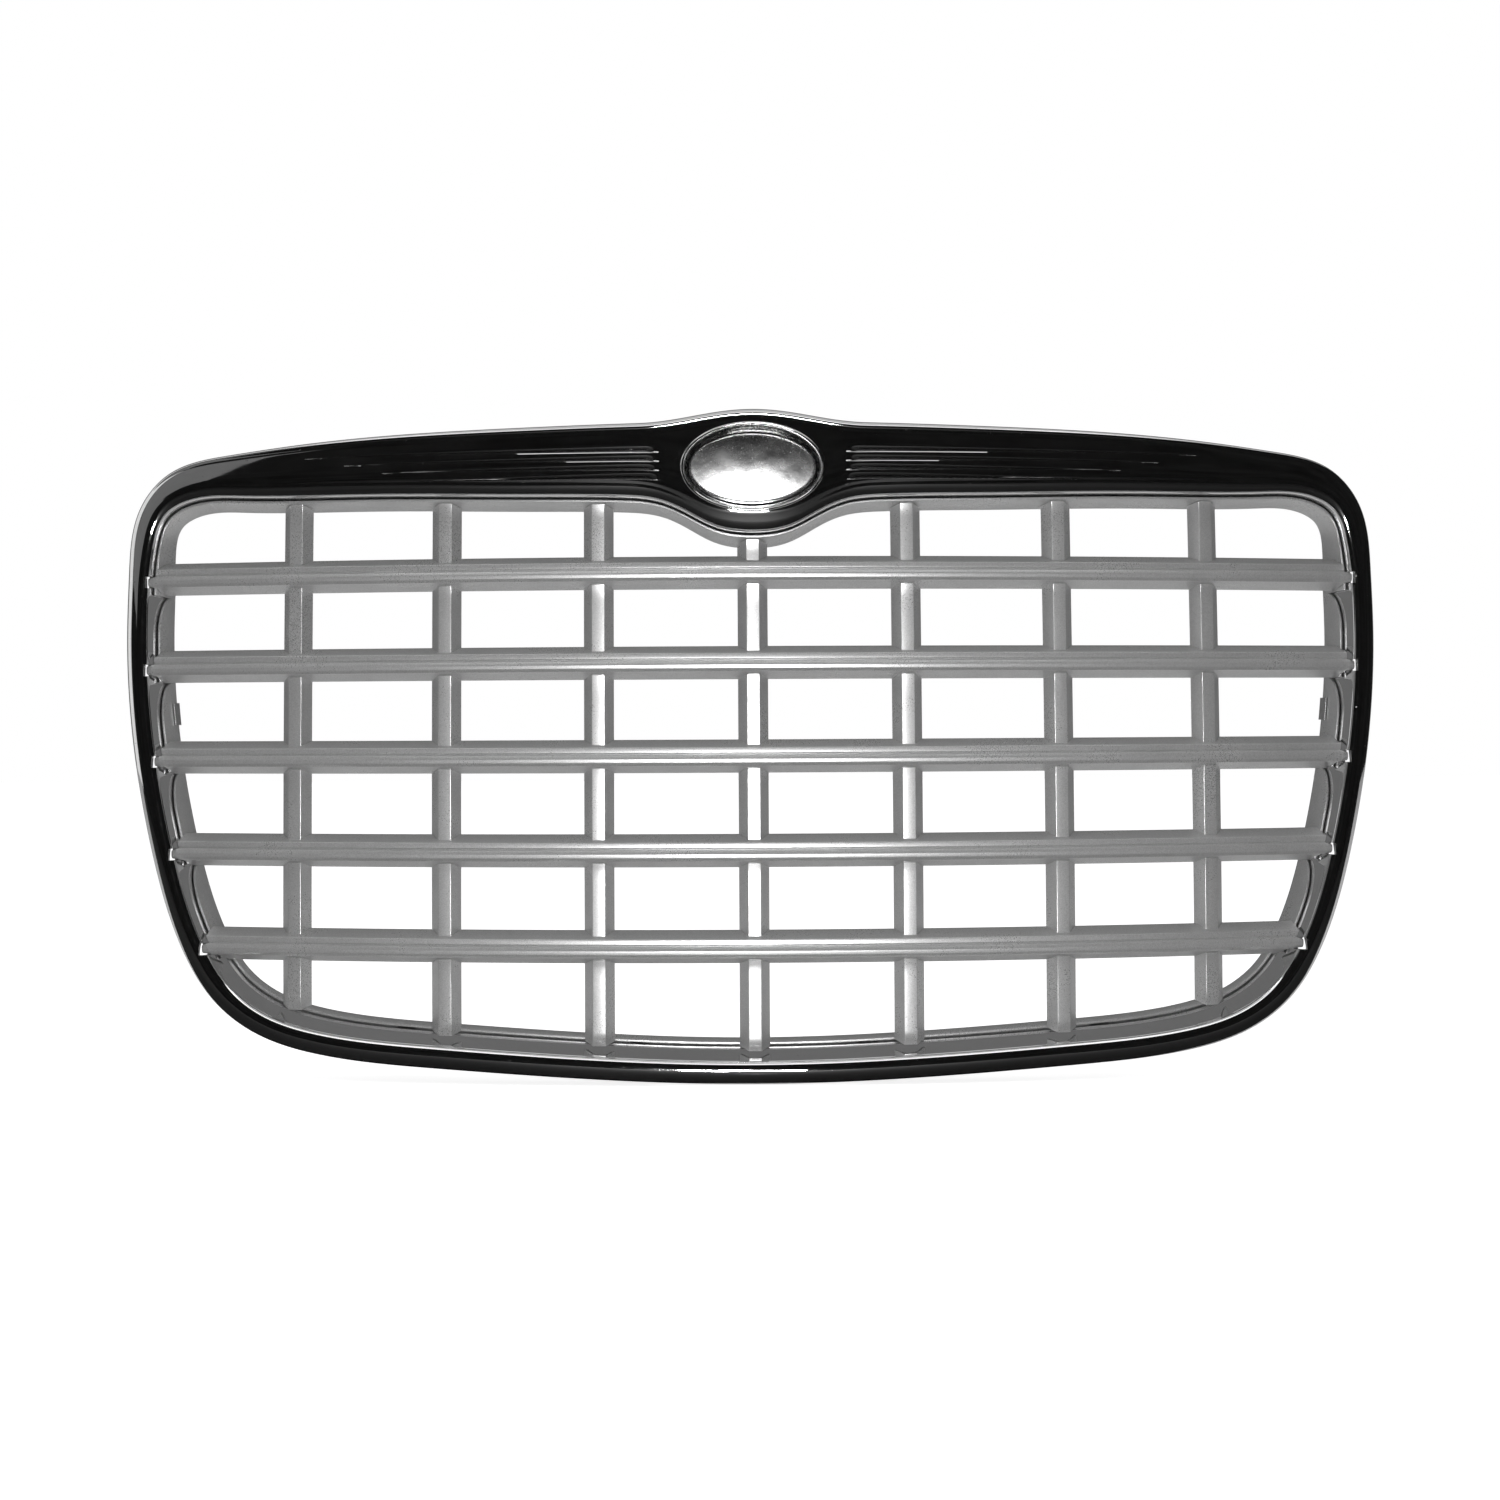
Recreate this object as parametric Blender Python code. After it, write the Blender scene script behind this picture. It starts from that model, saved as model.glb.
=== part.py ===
"""Front grille of a large saloon car: a chrome surround, a satin silver lattice, a blank oval
medallion and the fasteners behind them. Blender 4.5. Metres, +Z up, and the front faces -Y.

Shapes are drawn flat first, in millimetres: x across, z up, and t straight back from the skin.
The skin is then swept back towards the sides and leaned back towards the top. A place written
as "end" is the top when it is 1 and the bottom when it is -1."""

import math

import bmesh
import bpy
import numpy as np

MM = 0.001

# Overall shape
HALF_WIDTH = 419.3
TOP, BOTTOM = 218.5, -218.7
SIDE_SWEEP = 62.0  # how far the skin goes back from the middle to either side
TOP_LEAN = 24.0  # how far it leans back from the bottom to the top
ORIGIN_DEPTH = 56.0  # from the foremost point of the skin back to the origin

# Outer outline, right half, from the top centre to the bottom centre
OUTER_KNOTS = [
    (0, 210.4), (150, 207.6), (290, 200.5), (350, 193.8), (392, 182), (412, 158),
    (418.6, 115), (HALF_WIDTH, 72), (413.6, -2), (400, -72), (377, -139), (357, -168.5),
    (326, -190.3), (286, -202), (208, -209.8), (100, -216), (0, BOTTOM),
]
CROWN_RISE, CROWN_HALF = 8.0, 75.0  # the top edge rises over the medallion

# Lower edge of the header, right half: the bulge round the medallion, then the long level run
HEADER_KNOTS = [
    (0, 136.7), (24, 140.2), (45.5, 151), (62, 157.6), (85, 160.2), (150, 161.4),
    (250, 163.2), (340, 164.3), (376, 162.2), (392.5, 152.5), (399.5, 133),
]
SIDE_KNOT_ZS = (105, 72, -2)  # below the corner the edge follows the sides at these heights
CORNER_END_Z = SIDE_KNOT_ZS[0]
BAND = 16.3  # width of the chrome at the sides and bottom

# Stations round the surround's right half: along the header, round the corner, and along the bottom
HEADER_XS = [0, 18, 34, 48, 62, 80, 120, 175, 230, 285, 340]
CORNER_STEPS, BOTTOM_STEPS = 8, 11

# Surround section
EDGE_DEPTH = 8.0  # depth of the band's inner edge
FLANGE_DEPTH = 28.0
WALL_DRAFT = 0.2  # the inner wall closes in by this much for each millimetre of depth
SIDE_WALL_DEPTH, HEADER_WALL_DEPTH = 40.0, 31.0
DEPTH_BLEND = 50.0  # height above the corner's end over which one depth turns into the other
SHELL = 2.6
SIDE_BEAD, HEADER_BEAD = 2.4, 5.5  # width of the rounded outer edge

# Lattice
MULLION_PITCH = 100.8
MULLIONS_A_SIDE = 3
LOUVRE_Z = [111.8, 52.8, -8.2, -69.6, -131.8]
LOUVRE_FRONT = 6.0
LOUVRE_BACK_HALF = 11.0
LOUVRE_STEPS = 10
MULLION_FRONT, MULLION_REAR = 14.0, 26.0
MULLION_FRONT_HALF, MULLION_REAR_HALF = 4.2, 10.0
MULLION_STEPS = 6
BAR_WALL = 1.8
INSERT_WALL = 1.6
SLOT_CLEAR = 0.35  # from a mullion to the louvre it passes through
SLOT_RUN_OUT = 8.0  # how far a slot is cut on past the mullion's rear
NOSE_REACH, NOSE_ROOT = 2.5, 8.0  # a louvre's nose, into the band and back along the louvre
NOTCH_CLEAR = 0.9
BAY_FRONT = 19.0  # front edge of the insert's wall beside a louvre
TOP_BAY_FRONT = 11.0  # and above the top louvre, all round the header
BOTTOM_STRIP = 5.0  # width of the insert's wall along the bottom
SCALLOP_SHARE = 0.7  # share of a side bay that its scallop takes
SCALLOP_STATIONS = (0.06, 0.17, 0.35, 0.7)
STEP_HALF = 0.2  # half the height of the step where a scallop starts

# Medallion
MEDALLION_Z = 179.3
RING_HALF = (47.4, 29.9)
DISC_HALF = (41.3, 22.6)
OVAL_SIDES = 24
DISH_INSET, DISH_RIM = 2.2, 0.6
DISH_FLOOR, DISH_BACK = 9.0, 12.0
STUD_X, STUD_R, STUD_END = 27.0, 1.8, 19.0

# Grooves in the header, either side of the medallion
FLUTE_ROWS = 4
FLUTE_START, FLUTE_TIP = 62.0, 296.0
FLUTE_SHORTEST = 0.66  # length of the lowest groove as a share of the highest one
FLUTE_LOW, FLUTE_HIGH = -11.0, 19.0  # from the medallion's centre
FLUTE_RIDGE, FLUTE_TIP_WIDTH = 1.6, 0.8
FLUTE_DEPTH = 2.3

# Screws through the insert's ears into the surround's posts
SCREW_PLACES = [(130, 1), (270, 1), (75, -1), (230, -1)]  # x and end
SCREW_INSET = 9.0  # from the outer outline at the bottom, and from the lower edge at the top
POST_FRONT, POST_R, PILOT_R, PILOT_DEPTH = 2.4, 4.4, 2.0, 13.0
EAR_GAP = 2.2  # from the rear of the surround's wall to the front of an ear
EAR_THICK, EAR_HALF, EAR_REACH = 2.2, 6.0, 5.0
SHANK_R, SHANK_LENGTH, HEAD_R, HEAD_HEIGHT = 1.6, 12.0, 4.0, 2.2
SMALL_SIDES = 8

# Mounting tabs and the spring nuts over their free edges
TAB_PLACES = [(190, 1), (330, 1), (150, -1)]  # x and end
TAB_HALF, TAB_THICK, TAB_FRONT = 11.0, 3.0, 24.0
TAB_ROOT = 1.5  # from the outline to where the tab starts, inside the flange
TAB_HEIGHT = {1: 22.0, -1: 12.5}
TAB_HOLE_Z = {1: 14.0, -1: 7.6}  # from the outline to the hole
TAB_HOLE_R = 3.0
NUT_LEG = {1: 13.5, -1: 8.6}
NUT_HALF, NUT_THICK, NUT_HOLE_R = 5.5, 0.9, 2.4

# Clips that hold the insert to the surround at the sides
CLIP_Z, CLIP_HALF, CLIP_LEG, CLIP_THICK = 21.0, 7.5, 8.0, 1.0

GAP = 0.4  # clearance between neighbouring pieces
SLANT_GAP = GAP + 0.2  # the same where the faces are slanted
INSERT_FACE = SLANT_GAP + INSERT_WALL  # from the surround's wall to the insert's inner face
CUT = 3.0  # how far a cutter runs past the face it cuts

# Sections, each an outline of (t, z) or (inset, t) points in order round the piece
LOUVRE_SECTION = [  # a ridge over a rounded bar, hollow behind: t from its front, z from its centre
    (19, LOUVRE_BACK_HALF), (4.8, 6.6), (2.7, 6.0), (2.4, 2.6), (3.6, 1.7), (1.0, 0.7), (0, -1.4),
    (0.2, -4.0), (1.8, -6.0), (4.8, -6.4), (19, -LOUVRE_BACK_HALF), (19, -9.2), (5.4, -4.8),
    (5.4, 4.8), (19, 9.2),
]
NOSE_SECTION = [(0.8, 0.4), (0.3, -1.4), (0.5, -3.9), (1.9, -5.6), (4.0, -5.6), (4.0, 0.4)]
BEZEL_SECTION = [  # inset from the ring's outside, t from the skin
    (0, -GAP), (0.5, -2.9), (1.4, -4.0), (2.3, -3.4), (3.3, 0.4), (5.0, 7.0), (4.1, 7.4),
    (2.7, 2.0), (2.7, -GAP),
]
DISC_PROFILE = [(0, DISH_FLOOR - GAP), (0, 5.4), (1.2, 4.7), (14, 4.1)]  # inset from its rim, t


# ------------------------------------------------------------------ shape of the skin


def skin(x, z):
    """Depth of the skin behind its foremost point."""
    return SIDE_SWEEP * (x / HALF_WIDTH) ** 2 + TOP_LEAN * ((z - BOTTOM) / (TOP - BOTTOM)) ** 2


def smooth_curve(knots, steps=40):
    """Dense points on the cubic spline through the knots, which is level at both ends."""
    p = np.array(knots, float)
    h = np.linalg.norm(np.diff(p, axis=0), axis=1)
    slope = np.diff(p, axis=0) / h[:, None]
    count = len(p)
    a, b = np.zeros((count, count)), np.zeros((count, 2))
    a[0, :2] = 2 * h[0], h[0]
    a[-1, -2:] = h[-1], 2 * h[-1]
    b[0] = 6 * (slope[0] - (1, 0))
    b[-1] = 6 * (np.array((-1, 0)) - slope[-1])
    for i in range(1, count - 1):
        a[i, i - 1 : i + 2] = h[i - 1], 2 * (h[i - 1] + h[i]), h[i]
        b[i] = 6 * (slope[i] - slope[i - 1])
    bend = np.linalg.solve(a, b)
    runs = [p[:1]]
    for i in range(count - 1):
        u = np.arange(1, steps + 1)[:, None] / steps * h[i]
        start = slope[i] - h[i] * (2 * bend[i] + bend[i + 1]) / 6
        runs.append(p[i] + start * u + bend[i] * u**2 / 2 + (bend[i + 1] - bend[i]) * u**3 / (6 * h[i]))
    return np.concatenate(runs)


def inward(curve):
    """Unit normals of a clockwise half outline, pointing into the opening."""
    along = np.gradient(curve, axis=0)
    along /= np.linalg.norm(along, axis=1)[:, None]
    return np.stack([along[:, 1], -along[:, 0]], axis=1)


def crown(x):
    return np.where(np.abs(x) < CROWN_HALF, CROWN_RISE * (1 + np.cos(np.pi * x / CROWN_HALF)) / 2, 0)


def on_side(curve, z):
    """The point of a half outline at height z, on its side."""
    side = curve[curve[:, 0] > HALF_WIDTH / 2]
    return np.array([np.interp(z, side[::-1, 1], side[::-1, 0]), z])


def header_edge():
    """The opening's edge: the header's knots, then the band's inner edge down to the bottom."""
    tail = [tuple(on_side(PLAIN_INNER, z)) for z in SIDE_KNOT_ZS]
    return smooth_curve(HEADER_KNOTS + tail + [tuple(PLAIN_INNER[-1])])


PLAIN_OUTER = smooth_curve(OUTER_KNOTS)
PLAIN_INNER = PLAIN_OUTER + BAND * inward(PLAIN_OUTER)
OUTER = PLAIN_OUTER.copy()
OUTER[:, 1] += np.where(OUTER[:, 1] > 0, crown(OUTER[:, 0]), 0)
HEADER_EDGE = header_edge()


def arc_between(curve, start, end, shares):
    """Points of the curve at these shares of the way from its index start to its index end."""
    part = curve[start : end + 1]
    reach = np.concatenate([[0], np.cumsum(np.linalg.norm(np.diff(part, axis=0), axis=1))])
    at = np.array(shares) * reach[-1]
    return np.stack([np.interp(at, reach, part[:, 0]), np.interp(at, reach, part[:, 1])], axis=1)


def index_at_x(curve, x):
    return int(np.argmax(curve[:, 0] >= x))


def index_at_z(curve, z):
    return int(np.nonzero(curve[:, 1] >= z)[0][-1])


def bay_edges():
    """Top and bottom of each side bay between two louvres."""
    for upper, lower in zip(LOUVRE_Z, LOUVRE_Z[1:]):
        yield upper - LOUVRE_BACK_HALF, lower + LOUVRE_BACK_HALF


def side_heights():
    """Heights of the surround's side stations, from the corner's end to the lowest louvre."""
    bays = [z for bay in bay_edges() for z in bay]
    return [CORNER_END_Z] + bays + [LOUVRE_Z[-1] - LOUVRE_BACK_HALF]


def rail(side_zs):
    """Stations round the right half, as pairs of an outer and an inner point."""
    pairs = []
    header_end = HEADER_XS[-1]
    top_run = OUTER[: index_at_x(OUTER, header_end) + 1]
    low_run = HEADER_EDGE[: index_at_x(HEADER_EDGE, header_end) + 1]
    for x in HEADER_XS:
        outer = (x, np.interp(x, top_run[:, 0], top_run[:, 1]))
        pairs.append((outer, (x, np.interp(x, low_run[:, 0], low_run[:, 1]))))
    shares = np.arange(1, CORNER_STEPS) / CORNER_STEPS
    corners = [
        arc_between(curve, index_at_x(curve, header_end), index_at_z(curve, CORNER_END_Z), shares)
        for curve in (OUTER, HEADER_EDGE)
    ]
    pairs += list(zip(*corners))
    normals = inward(OUTER)
    for z in side_zs:
        outer = on_side(OUTER, z)
        near = int(np.argmin(np.linalg.norm(OUTER - outer, axis=1)))
        pairs.append((outer, outer + BAND * normals[near]))
    start = index_at_z(OUTER, side_zs[-1])
    shares = np.arange(1, BOTTOM_STEPS + 1) / BOTTOM_STEPS
    outers = arc_between(OUTER, start, len(OUTER) - 1, shares)
    inners = arc_between(PLAIN_INNER, start, len(OUTER) - 1, shares)
    pairs += list(zip(outers, inners))
    return [(np.array(outer, float), np.array(inner, float)) for outer, inner in pairs]


HALF_RAIL = rail(side_heights())


def wall_depth(inner):
    """Depth of the inner wall's rear edge: shallow in the header, deep at the sides."""
    share = np.clip((inner[1] - CORNER_END_Z) / DEPTH_BLEND, 0, 1)
    return SIDE_WALL_DEPTH + (HEADER_WALL_DEPTH - SIDE_WALL_DEPTH) * share


def station_width(pair):
    return float(np.linalg.norm(pair[1] - pair[0]))


def inset_point(pair, distance):
    """The point this far from the outer outline, towards the inner one and beyond it."""
    outer, inner = pair
    return outer + (inner - outer) / station_width(pair) * distance


def wall_inset(pair, t, extra=0.0):
    """Distance from the outer outline to the inner wall at depth t, moved in by extra."""
    return station_width(pair) + WALL_DRAFT * (t - EDGE_DEPTH) + extra


def wall_line(t, extra):
    """Right half of the inner wall's line at depth t, moved in by extra."""
    return np.array([inset_point(pair, wall_inset(pair, t, extra)) for pair in HALF_RAIL])


def wall_x(z, t, extra=0.0):
    """Half width of the opening at height z and depth t."""
    line = wall_line(t, extra)
    side = line[np.argmax(line[:, 1]) :]
    return float(np.interp(z, side[::-1, 1], side[::-1, 0]))


def wall_z(x, t, end, extra=0.0):
    """Height of the opening's top or bottom at x and depth t."""
    line = wall_line(t, extra)
    run = line[: len(HEADER_XS)] if end > 0 else line[::-1][: BOTTOM_STEPS + 1]
    return float(np.interp(abs(x), run[:, 0], run[:, 1]))


def outline_z(x, end):
    """Height of the outer outline at x."""
    run = OUTER[OUTER[:, 1] * end > 0]
    run = run[np.argsort(run[:, 0])]
    return float(np.interp(abs(x), run[:, 0], run[:, 1]))


def both_sides(places):
    return [(side * x, end) for x, end in places for side in (-1, 1)]


# ------------------------------------------------------------------ shapes: (points, faces)


def bridge(rings, closed=False):
    """Faces between rings of equally many points, with end caps unless the run is closed."""
    size, count = len(rings[0]), len(rings)
    faces = []
    for i in range(count if closed else count - 1):
        a, b = i * size, (i + 1) % count * size
        for j in range(size):
            k = (j + 1) % size
            faces.append((a + j, a + k, b + k, b + j))
    if not closed:
        faces += [tuple(range(size)), tuple(range((count - 1) * size, count * size))]
    return [point for ring in rings for point in ring], faces


def joined(shapes):
    """Several shapes as one."""
    points, faces = [], []
    for more_points, more_faces in shapes:
        start = len(points)
        points += more_points
        faces += [tuple(start + i for i in face) for face in more_faces]
    return points, faces


def block(x_range, t_range, z_range):
    (t0, t1), (z0, z1) = t_range, z_range
    return bridge([[(x, t0, z0), (x, t1, z0), (x, t1, z1), (x, t0, z1)] for x in x_range])


def turned(profile, sides=SMALL_SIDES, half=(0, 0), hollow=False):
    """A shape turned about the t axis, from (radius, t) pairs. Radii are measured from an ellipse
    with these half axes. A hollow one joins the last pair to the first, round an open middle."""
    turns = [2 * math.pi * (i + 0.5) / sides for i in range(sides)]
    rings = []
    for radius, t in profile:
        across, up = half[0] + radius, half[1] + radius
        rings.append([(across * math.cos(turn), t, up * math.sin(turn)) for turn in turns])
    return bridge(rings, closed=hollow)


def hole(radius, front, rear):
    return turned([(radius, front), (radius, rear)])


def moved(shape, place):
    points, faces = shape
    return [tuple(a + b for a, b in zip(point, place)) for point in points], faces


def draped(shape):
    """The shape with each point set back by the skin's depth there."""
    points, faces = shape
    return [(x, t + skin(x, z), z) for x, t, z in points], faces


def seat(x, z):
    """The point of the skin at x and z: where a small straight piece is placed."""
    return x, skin(x, z), z


def on_medallion(shape, x=0.0):
    return draped(moved(shape, (x, 0, MEDALLION_Z)))


def mirrored_ring(half, section):
    """A section swept round both halves, from the top centre clockwise and back to it."""
    rings = []
    for pair in half:
        spots = [(inset_point(pair, inset), t) for inset, t in section(pair)]
        rings.append([(spot[0], t, spot[1]) for spot, t in spots])
    rings += [[(-x, t, z) for x, t, z in ring] for ring in rings[-2:0:-1]]
    return draped(bridge(rings, closed=True))


# ------------------------------------------------------------------ objects and materials


def clear_scene():
    for old in list(bpy.data.objects):
        bpy.data.objects.remove(old)


def make_material(name, color, roughness, metallic):
    material = bpy.data.materials.new(name)
    material.use_nodes = True
    shader = material.node_tree.nodes["Principled BSDF"]
    shader.inputs["Base Color"].default_value = (*color, 1)
    shader.inputs["Roughness"].default_value = roughness
    shader.inputs["Metallic"].default_value = metallic
    return material


def add_datum():
    """An empty at the foremost point of the skin, which every piece is placed from."""
    datum = bpy.data.objects.new("skin_datum", None)
    datum.location.y = -ORIGIN_DEPTH * MM
    bpy.context.scene.collection.objects.link(datum)
    return datum


def link_at(name, mesh, datum, place):
    item = bpy.data.objects.new(name, mesh)
    item.parent = datum
    item.location = [value * MM for value in place]
    bpy.context.scene.collection.objects.link(item)
    return item


def add_object(datum, name, shape, material=None, place=(0, 0, 0)):
    """An object from a shape. One with no material only adds to others or cuts them."""
    points, faces = shape
    mesh = bpy.data.meshes.new(name)
    mesh.from_pydata([[value * MM for value in point] for point in points], [], faces)
    work = bmesh.new()
    work.from_mesh(mesh)
    bmesh.ops.recalc_face_normals(work, faces=work.faces)
    bmesh.ops.triangulate(work, faces=work.faces)
    work.to_mesh(mesh)
    work.free()
    item = link_at(name, mesh, datum, place)
    if material:
        mesh.materials.append(material)
        mesh.shade_smooth()
        mesh.set_sharp_from_angle(angle=math.radians(35))
    else:
        item.hide_render = True
        item.display_type = "WIRE"
    return item


def combine(item, operation, other):
    modifier = item.modifiers.new(f"{operation.title()} {other.name}", "BOOLEAN")
    modifier.operation = operation
    modifier.solver = "EXACT"
    modifier.object = other


# ------------------------------------------------------------------ surround


def surround_section(pair):
    """The front from the flange over the bead and the face to the rear of the inner wall, then
    back along the inside."""
    width = station_width(pair)
    bead = np.interp(width, (BAND, 50), (SIDE_BEAD, HEADER_BEAD))
    depth = wall_depth(pair[1])
    rear = wall_inset(pair, depth)
    crest = bead + (width - bead) * 0.35
    brow = width - 0.3 * BAND
    return [
        (0.4, FLANGE_DEPTH), (0, 10), (1.0, 5.2), (bead, 2.8), (crest, 0.5), (brow, 0.9),
        (width - 1.2, 4.2), (width, EDGE_DEPTH), (rear, depth),
        (rear - SHELL, depth), (width - 2.8, 9), (brow, 4.6), (crest, 3.6), (3.8, 6.4),
        (SHELL, 10), (SHELL + 0.4, FLANGE_DEPTH),
    ]


def screw_spot(x, end):
    """Height of the insert screw at x, and the depth of the wall beside it."""
    edge = wall_z(x, EDGE_DEPTH, end)
    if end > 0:
        return edge + SCREW_INSET, HEADER_WALL_DEPTH
    return edge - BAND + SCREW_INSET, SIDE_WALL_DEPTH


def posts():
    """Posts behind the surround's face for the insert screws, and the pilot holes in them."""
    solid, pilots = [], []
    for x, end in both_sides(SCREW_PLACES):
        z, depth = screw_spot(x, end)
        rear = depth + EAR_GAP - GAP
        solid.append(moved(turned([(POST_R, POST_FRONT), (POST_R, rear)]), seat(x, z)))
        pilots.append(moved(hole(PILOT_R, rear - PILOT_DEPTH, rear + CUT), seat(x, z)))
    return solid, pilots


def tabs():
    """Flat tabs inside the flange, and the holes in them."""
    solid, holes = [], []
    for x, end in both_sides(TAB_PLACES):
        heights = sorted((-end * TAB_ROOT, -end * TAB_HEIGHT[end]))
        plate = block((-TAB_HALF, TAB_HALF), (TAB_FRONT, TAB_FRONT + TAB_THICK), heights)
        cutter = hole(TAB_HOLE_R, TAB_FRONT - CUT, TAB_FRONT + TAB_THICK + CUT)
        place = seat(x, outline_z(x, end))
        solid.append(moved(plate, place))
        holes.append(moved(moved(cutter, (0, 0, -end * TAB_HOLE_Z[end])), place))
    return solid, holes


def flutes():
    """Straight parallel grooves, each tapering to a narrow tip at its outboard end."""
    low, high = MEDALLION_Z + FLUTE_LOW, MEDALLION_Z + FLUTE_HIGH
    pitch = (high - low) / FLUTE_ROWS
    ends = FLUTE_START + (FLUTE_TIP - FLUTE_START) * np.linspace(FLUTE_SHORTEST, 1, FLUTE_ROWS)
    shapes = []
    for row, end in enumerate(ends):
        bottom = low + row * pitch
        for side in (-1, 1):
            rings = []
            for share in (0, 0.5, 1):
                x = side * (FLUTE_START + (end - FLUTE_START) * share)
                top = bottom + (pitch - FLUTE_RIDGE) * (1 - share) + FLUTE_TIP_WIDTH * share
                corners = ((bottom, -CUT), (bottom, FLUTE_DEPTH), (top, FLUTE_DEPTH), (top, -CUT))
                rings.append([(x, t, z) for z, t in corners])
            shapes.append(draped(bridge(rings)))
    return shapes


def notches():
    """Pockets in the band's inner edge for the louvres' noses."""
    heights = [z for _, z in NOSE_SECTION]
    rear = LOUVRE_FRONT + max(t for t, _ in NOSE_SECTION) + NOTCH_CLEAR
    shapes = []
    for z in LOUVRE_Z:
        reach = wall_x(z, EDGE_DEPTH) + NOSE_REACH + NOTCH_CLEAR
        z_range = (z + min(heights) - NOTCH_CLEAR, z + max(heights) + NOTCH_CLEAR)
        for side in (-1, 1):
            x_range = (side * reach, side * (reach - BAND))
            shapes.append(draped(block(x_range, (-LOUVRE_FRONT, rear), z_range)))
    return shapes


def build_surround(datum, chrome):
    surround = add_object(datum, "surround_shell", mirrored_ring(HALF_RAIL, surround_section), chrome)
    post_solids, pilots = posts()
    tab_solids, tab_holes = tabs()
    dish_boss = turned([(DISH_RIM, POST_FRONT), (DISH_RIM, DISH_BACK)], OVAL_SIDES, RING_HALF)
    dish = turned([(-DISH_INSET, -2 * CUT), (-DISH_INSET, DISH_FLOOR)], OVAL_SIDES, RING_HALF)
    bosses = joined(post_solids + tab_solids + [on_medallion(dish_boss)])
    cuts = joined(pilots + tab_holes + [on_medallion(dish)] + flutes() + notches())
    stud_hole = hole(STUD_R + GAP, DISH_FLOOR - CUT, DISH_BACK + CUT)
    stud_holes = joined(on_medallion(stud_hole, side * STUD_X) for side in (-1, 1))
    combine(surround, "UNION", add_object(datum, "surround_bosses", bosses))
    cutter = add_object(datum, "surround_cuts", cuts)
    combine(cutter, "UNION", add_object(datum, "stud_holes", stud_holes))
    combine(surround, "DIFFERENCE", cutter)


# ------------------------------------------------------------------ insert


def insert_front(inner):
    """Depth of the front edge of the insert's wall: full depth at the top, a scallop in each
    side bay, and a narrow strip along the bottom."""
    z = inner[1]
    deep = wall_depth(inner) - 1.5
    if z > LOUVRE_Z[0] - LOUVRE_BACK_HALF:
        return TOP_BAY_FRONT
    if z < LOUVRE_Z[-1] - LOUVRE_BACK_HALF + STEP_HALF:
        return deep - BOTTOM_STRIP
    for bay_top, bay_bottom in bay_edges():
        if bay_bottom < z < bay_top:
            share = min(1, (bay_top - z) / (bay_top - bay_bottom) / SCALLOP_SHARE)
            return deep - (deep - BAY_FRONT) * math.sqrt(1 - (1 - share) ** 2)
    return BAY_FRONT


def insert_section(pair):
    front = insert_front(pair[1])
    rear = wall_depth(pair[1]) + EAR_GAP + EAR_THICK / 2
    corners = ((front, SLANT_GAP), (front, INSERT_FACE), (rear, INSERT_FACE), (rear, SLANT_GAP))
    return [(wall_inset(pair, t, face), t) for t, face in corners]


def insert_heights():
    """Heights of the insert's side stations: a step below each louvre, then the scallop."""
    heights = [CORNER_END_Z]
    for bay_top, bay_bottom in bay_edges():
        heights += [bay_top + STEP_HALF, bay_top - STEP_HALF]
        heights += [bay_top - share * (bay_top - bay_bottom) for share in SCALLOP_STATIONS]
        heights.append(bay_bottom)
    lowest = LOUVRE_Z[-1] - LOUVRE_BACK_HALF
    return heights + [lowest + 2 * STEP_HALF, lowest]


def build_insert(datum, silver):
    frame = add_object(datum, "insert_frame", mirrored_ring(rail(insert_heights()), insert_section), silver)
    ears, holes = [], []
    for x, end in both_sides(SCREW_PLACES):
        z, depth = screw_spot(x, end)
        front, rear = depth + EAR_GAP, depth + EAR_GAP + EAR_THICK
        root = wall_z(x, front, end, INSERT_FACE - INSERT_WALL / 2)
        z_range = sorted((end * EAR_REACH, root - z))
        ears.append(moved(block((-EAR_HALF, EAR_HALF), (front, rear), z_range), seat(x, z)))
        holes.append(moved(hole(PILOT_R + 0.2, front - CUT, rear + CUT), seat(x, z)))
    combine(frame, "UNION", add_object(datum, "insert_ears", joined(ears)))
    combine(frame, "DIFFERENCE", add_object(datum, "insert_holes", joined(holes)))


def louvre_bar(z):
    """A bar between the side walls, with each point of its ends on the wall's slant."""
    spots = []
    for t, dz in LOUVRE_SECTION:
        depth = LOUVRE_FRONT + t
        clear = SLANT_GAP if depth <= EDGE_DEPTH else INSERT_FACE + GAP
        spots.append((wall_x(z + dz, max(depth, EDGE_DEPTH), clear), depth, z + dz))
    rings = []
    for i in range(LOUVRE_STEPS + 1):
        share = 2 * i / LOUVRE_STEPS - 1
        rings.append([(share * reach, t, height) for reach, t, height in spots])
    return draped(bridge(rings))


def noses(z):
    """A louvre's two rounded ends, which run into the band's notches."""
    reach = wall_x(z, EDGE_DEPTH)
    shapes = []
    for side in (-1, 1):
        xs = (side * (reach - NOSE_ROOT), side * (reach + NOSE_REACH))
        rings = [[(x, LOUVRE_FRONT + t, z + dz) for t, dz in NOSE_SECTION] for x in xs]
        shapes.append(draped(bridge(rings)))
    return joined(shapes)


def bar_along_z(x, profile, ends_at):
    """A bar at x with a profile of (t, dx) points. ends_at gives its bottom and top at a depth."""
    rings = []
    for i in range(MULLION_STEPS + 1):
        ring = []
        for t, dx in profile:
            low, high = ends_at(t)
            ring.append((x + dx, t, low + (high - low) * i / MULLION_STEPS))
        rings.append(ring)
    return draped(bridge(rings))


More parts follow.
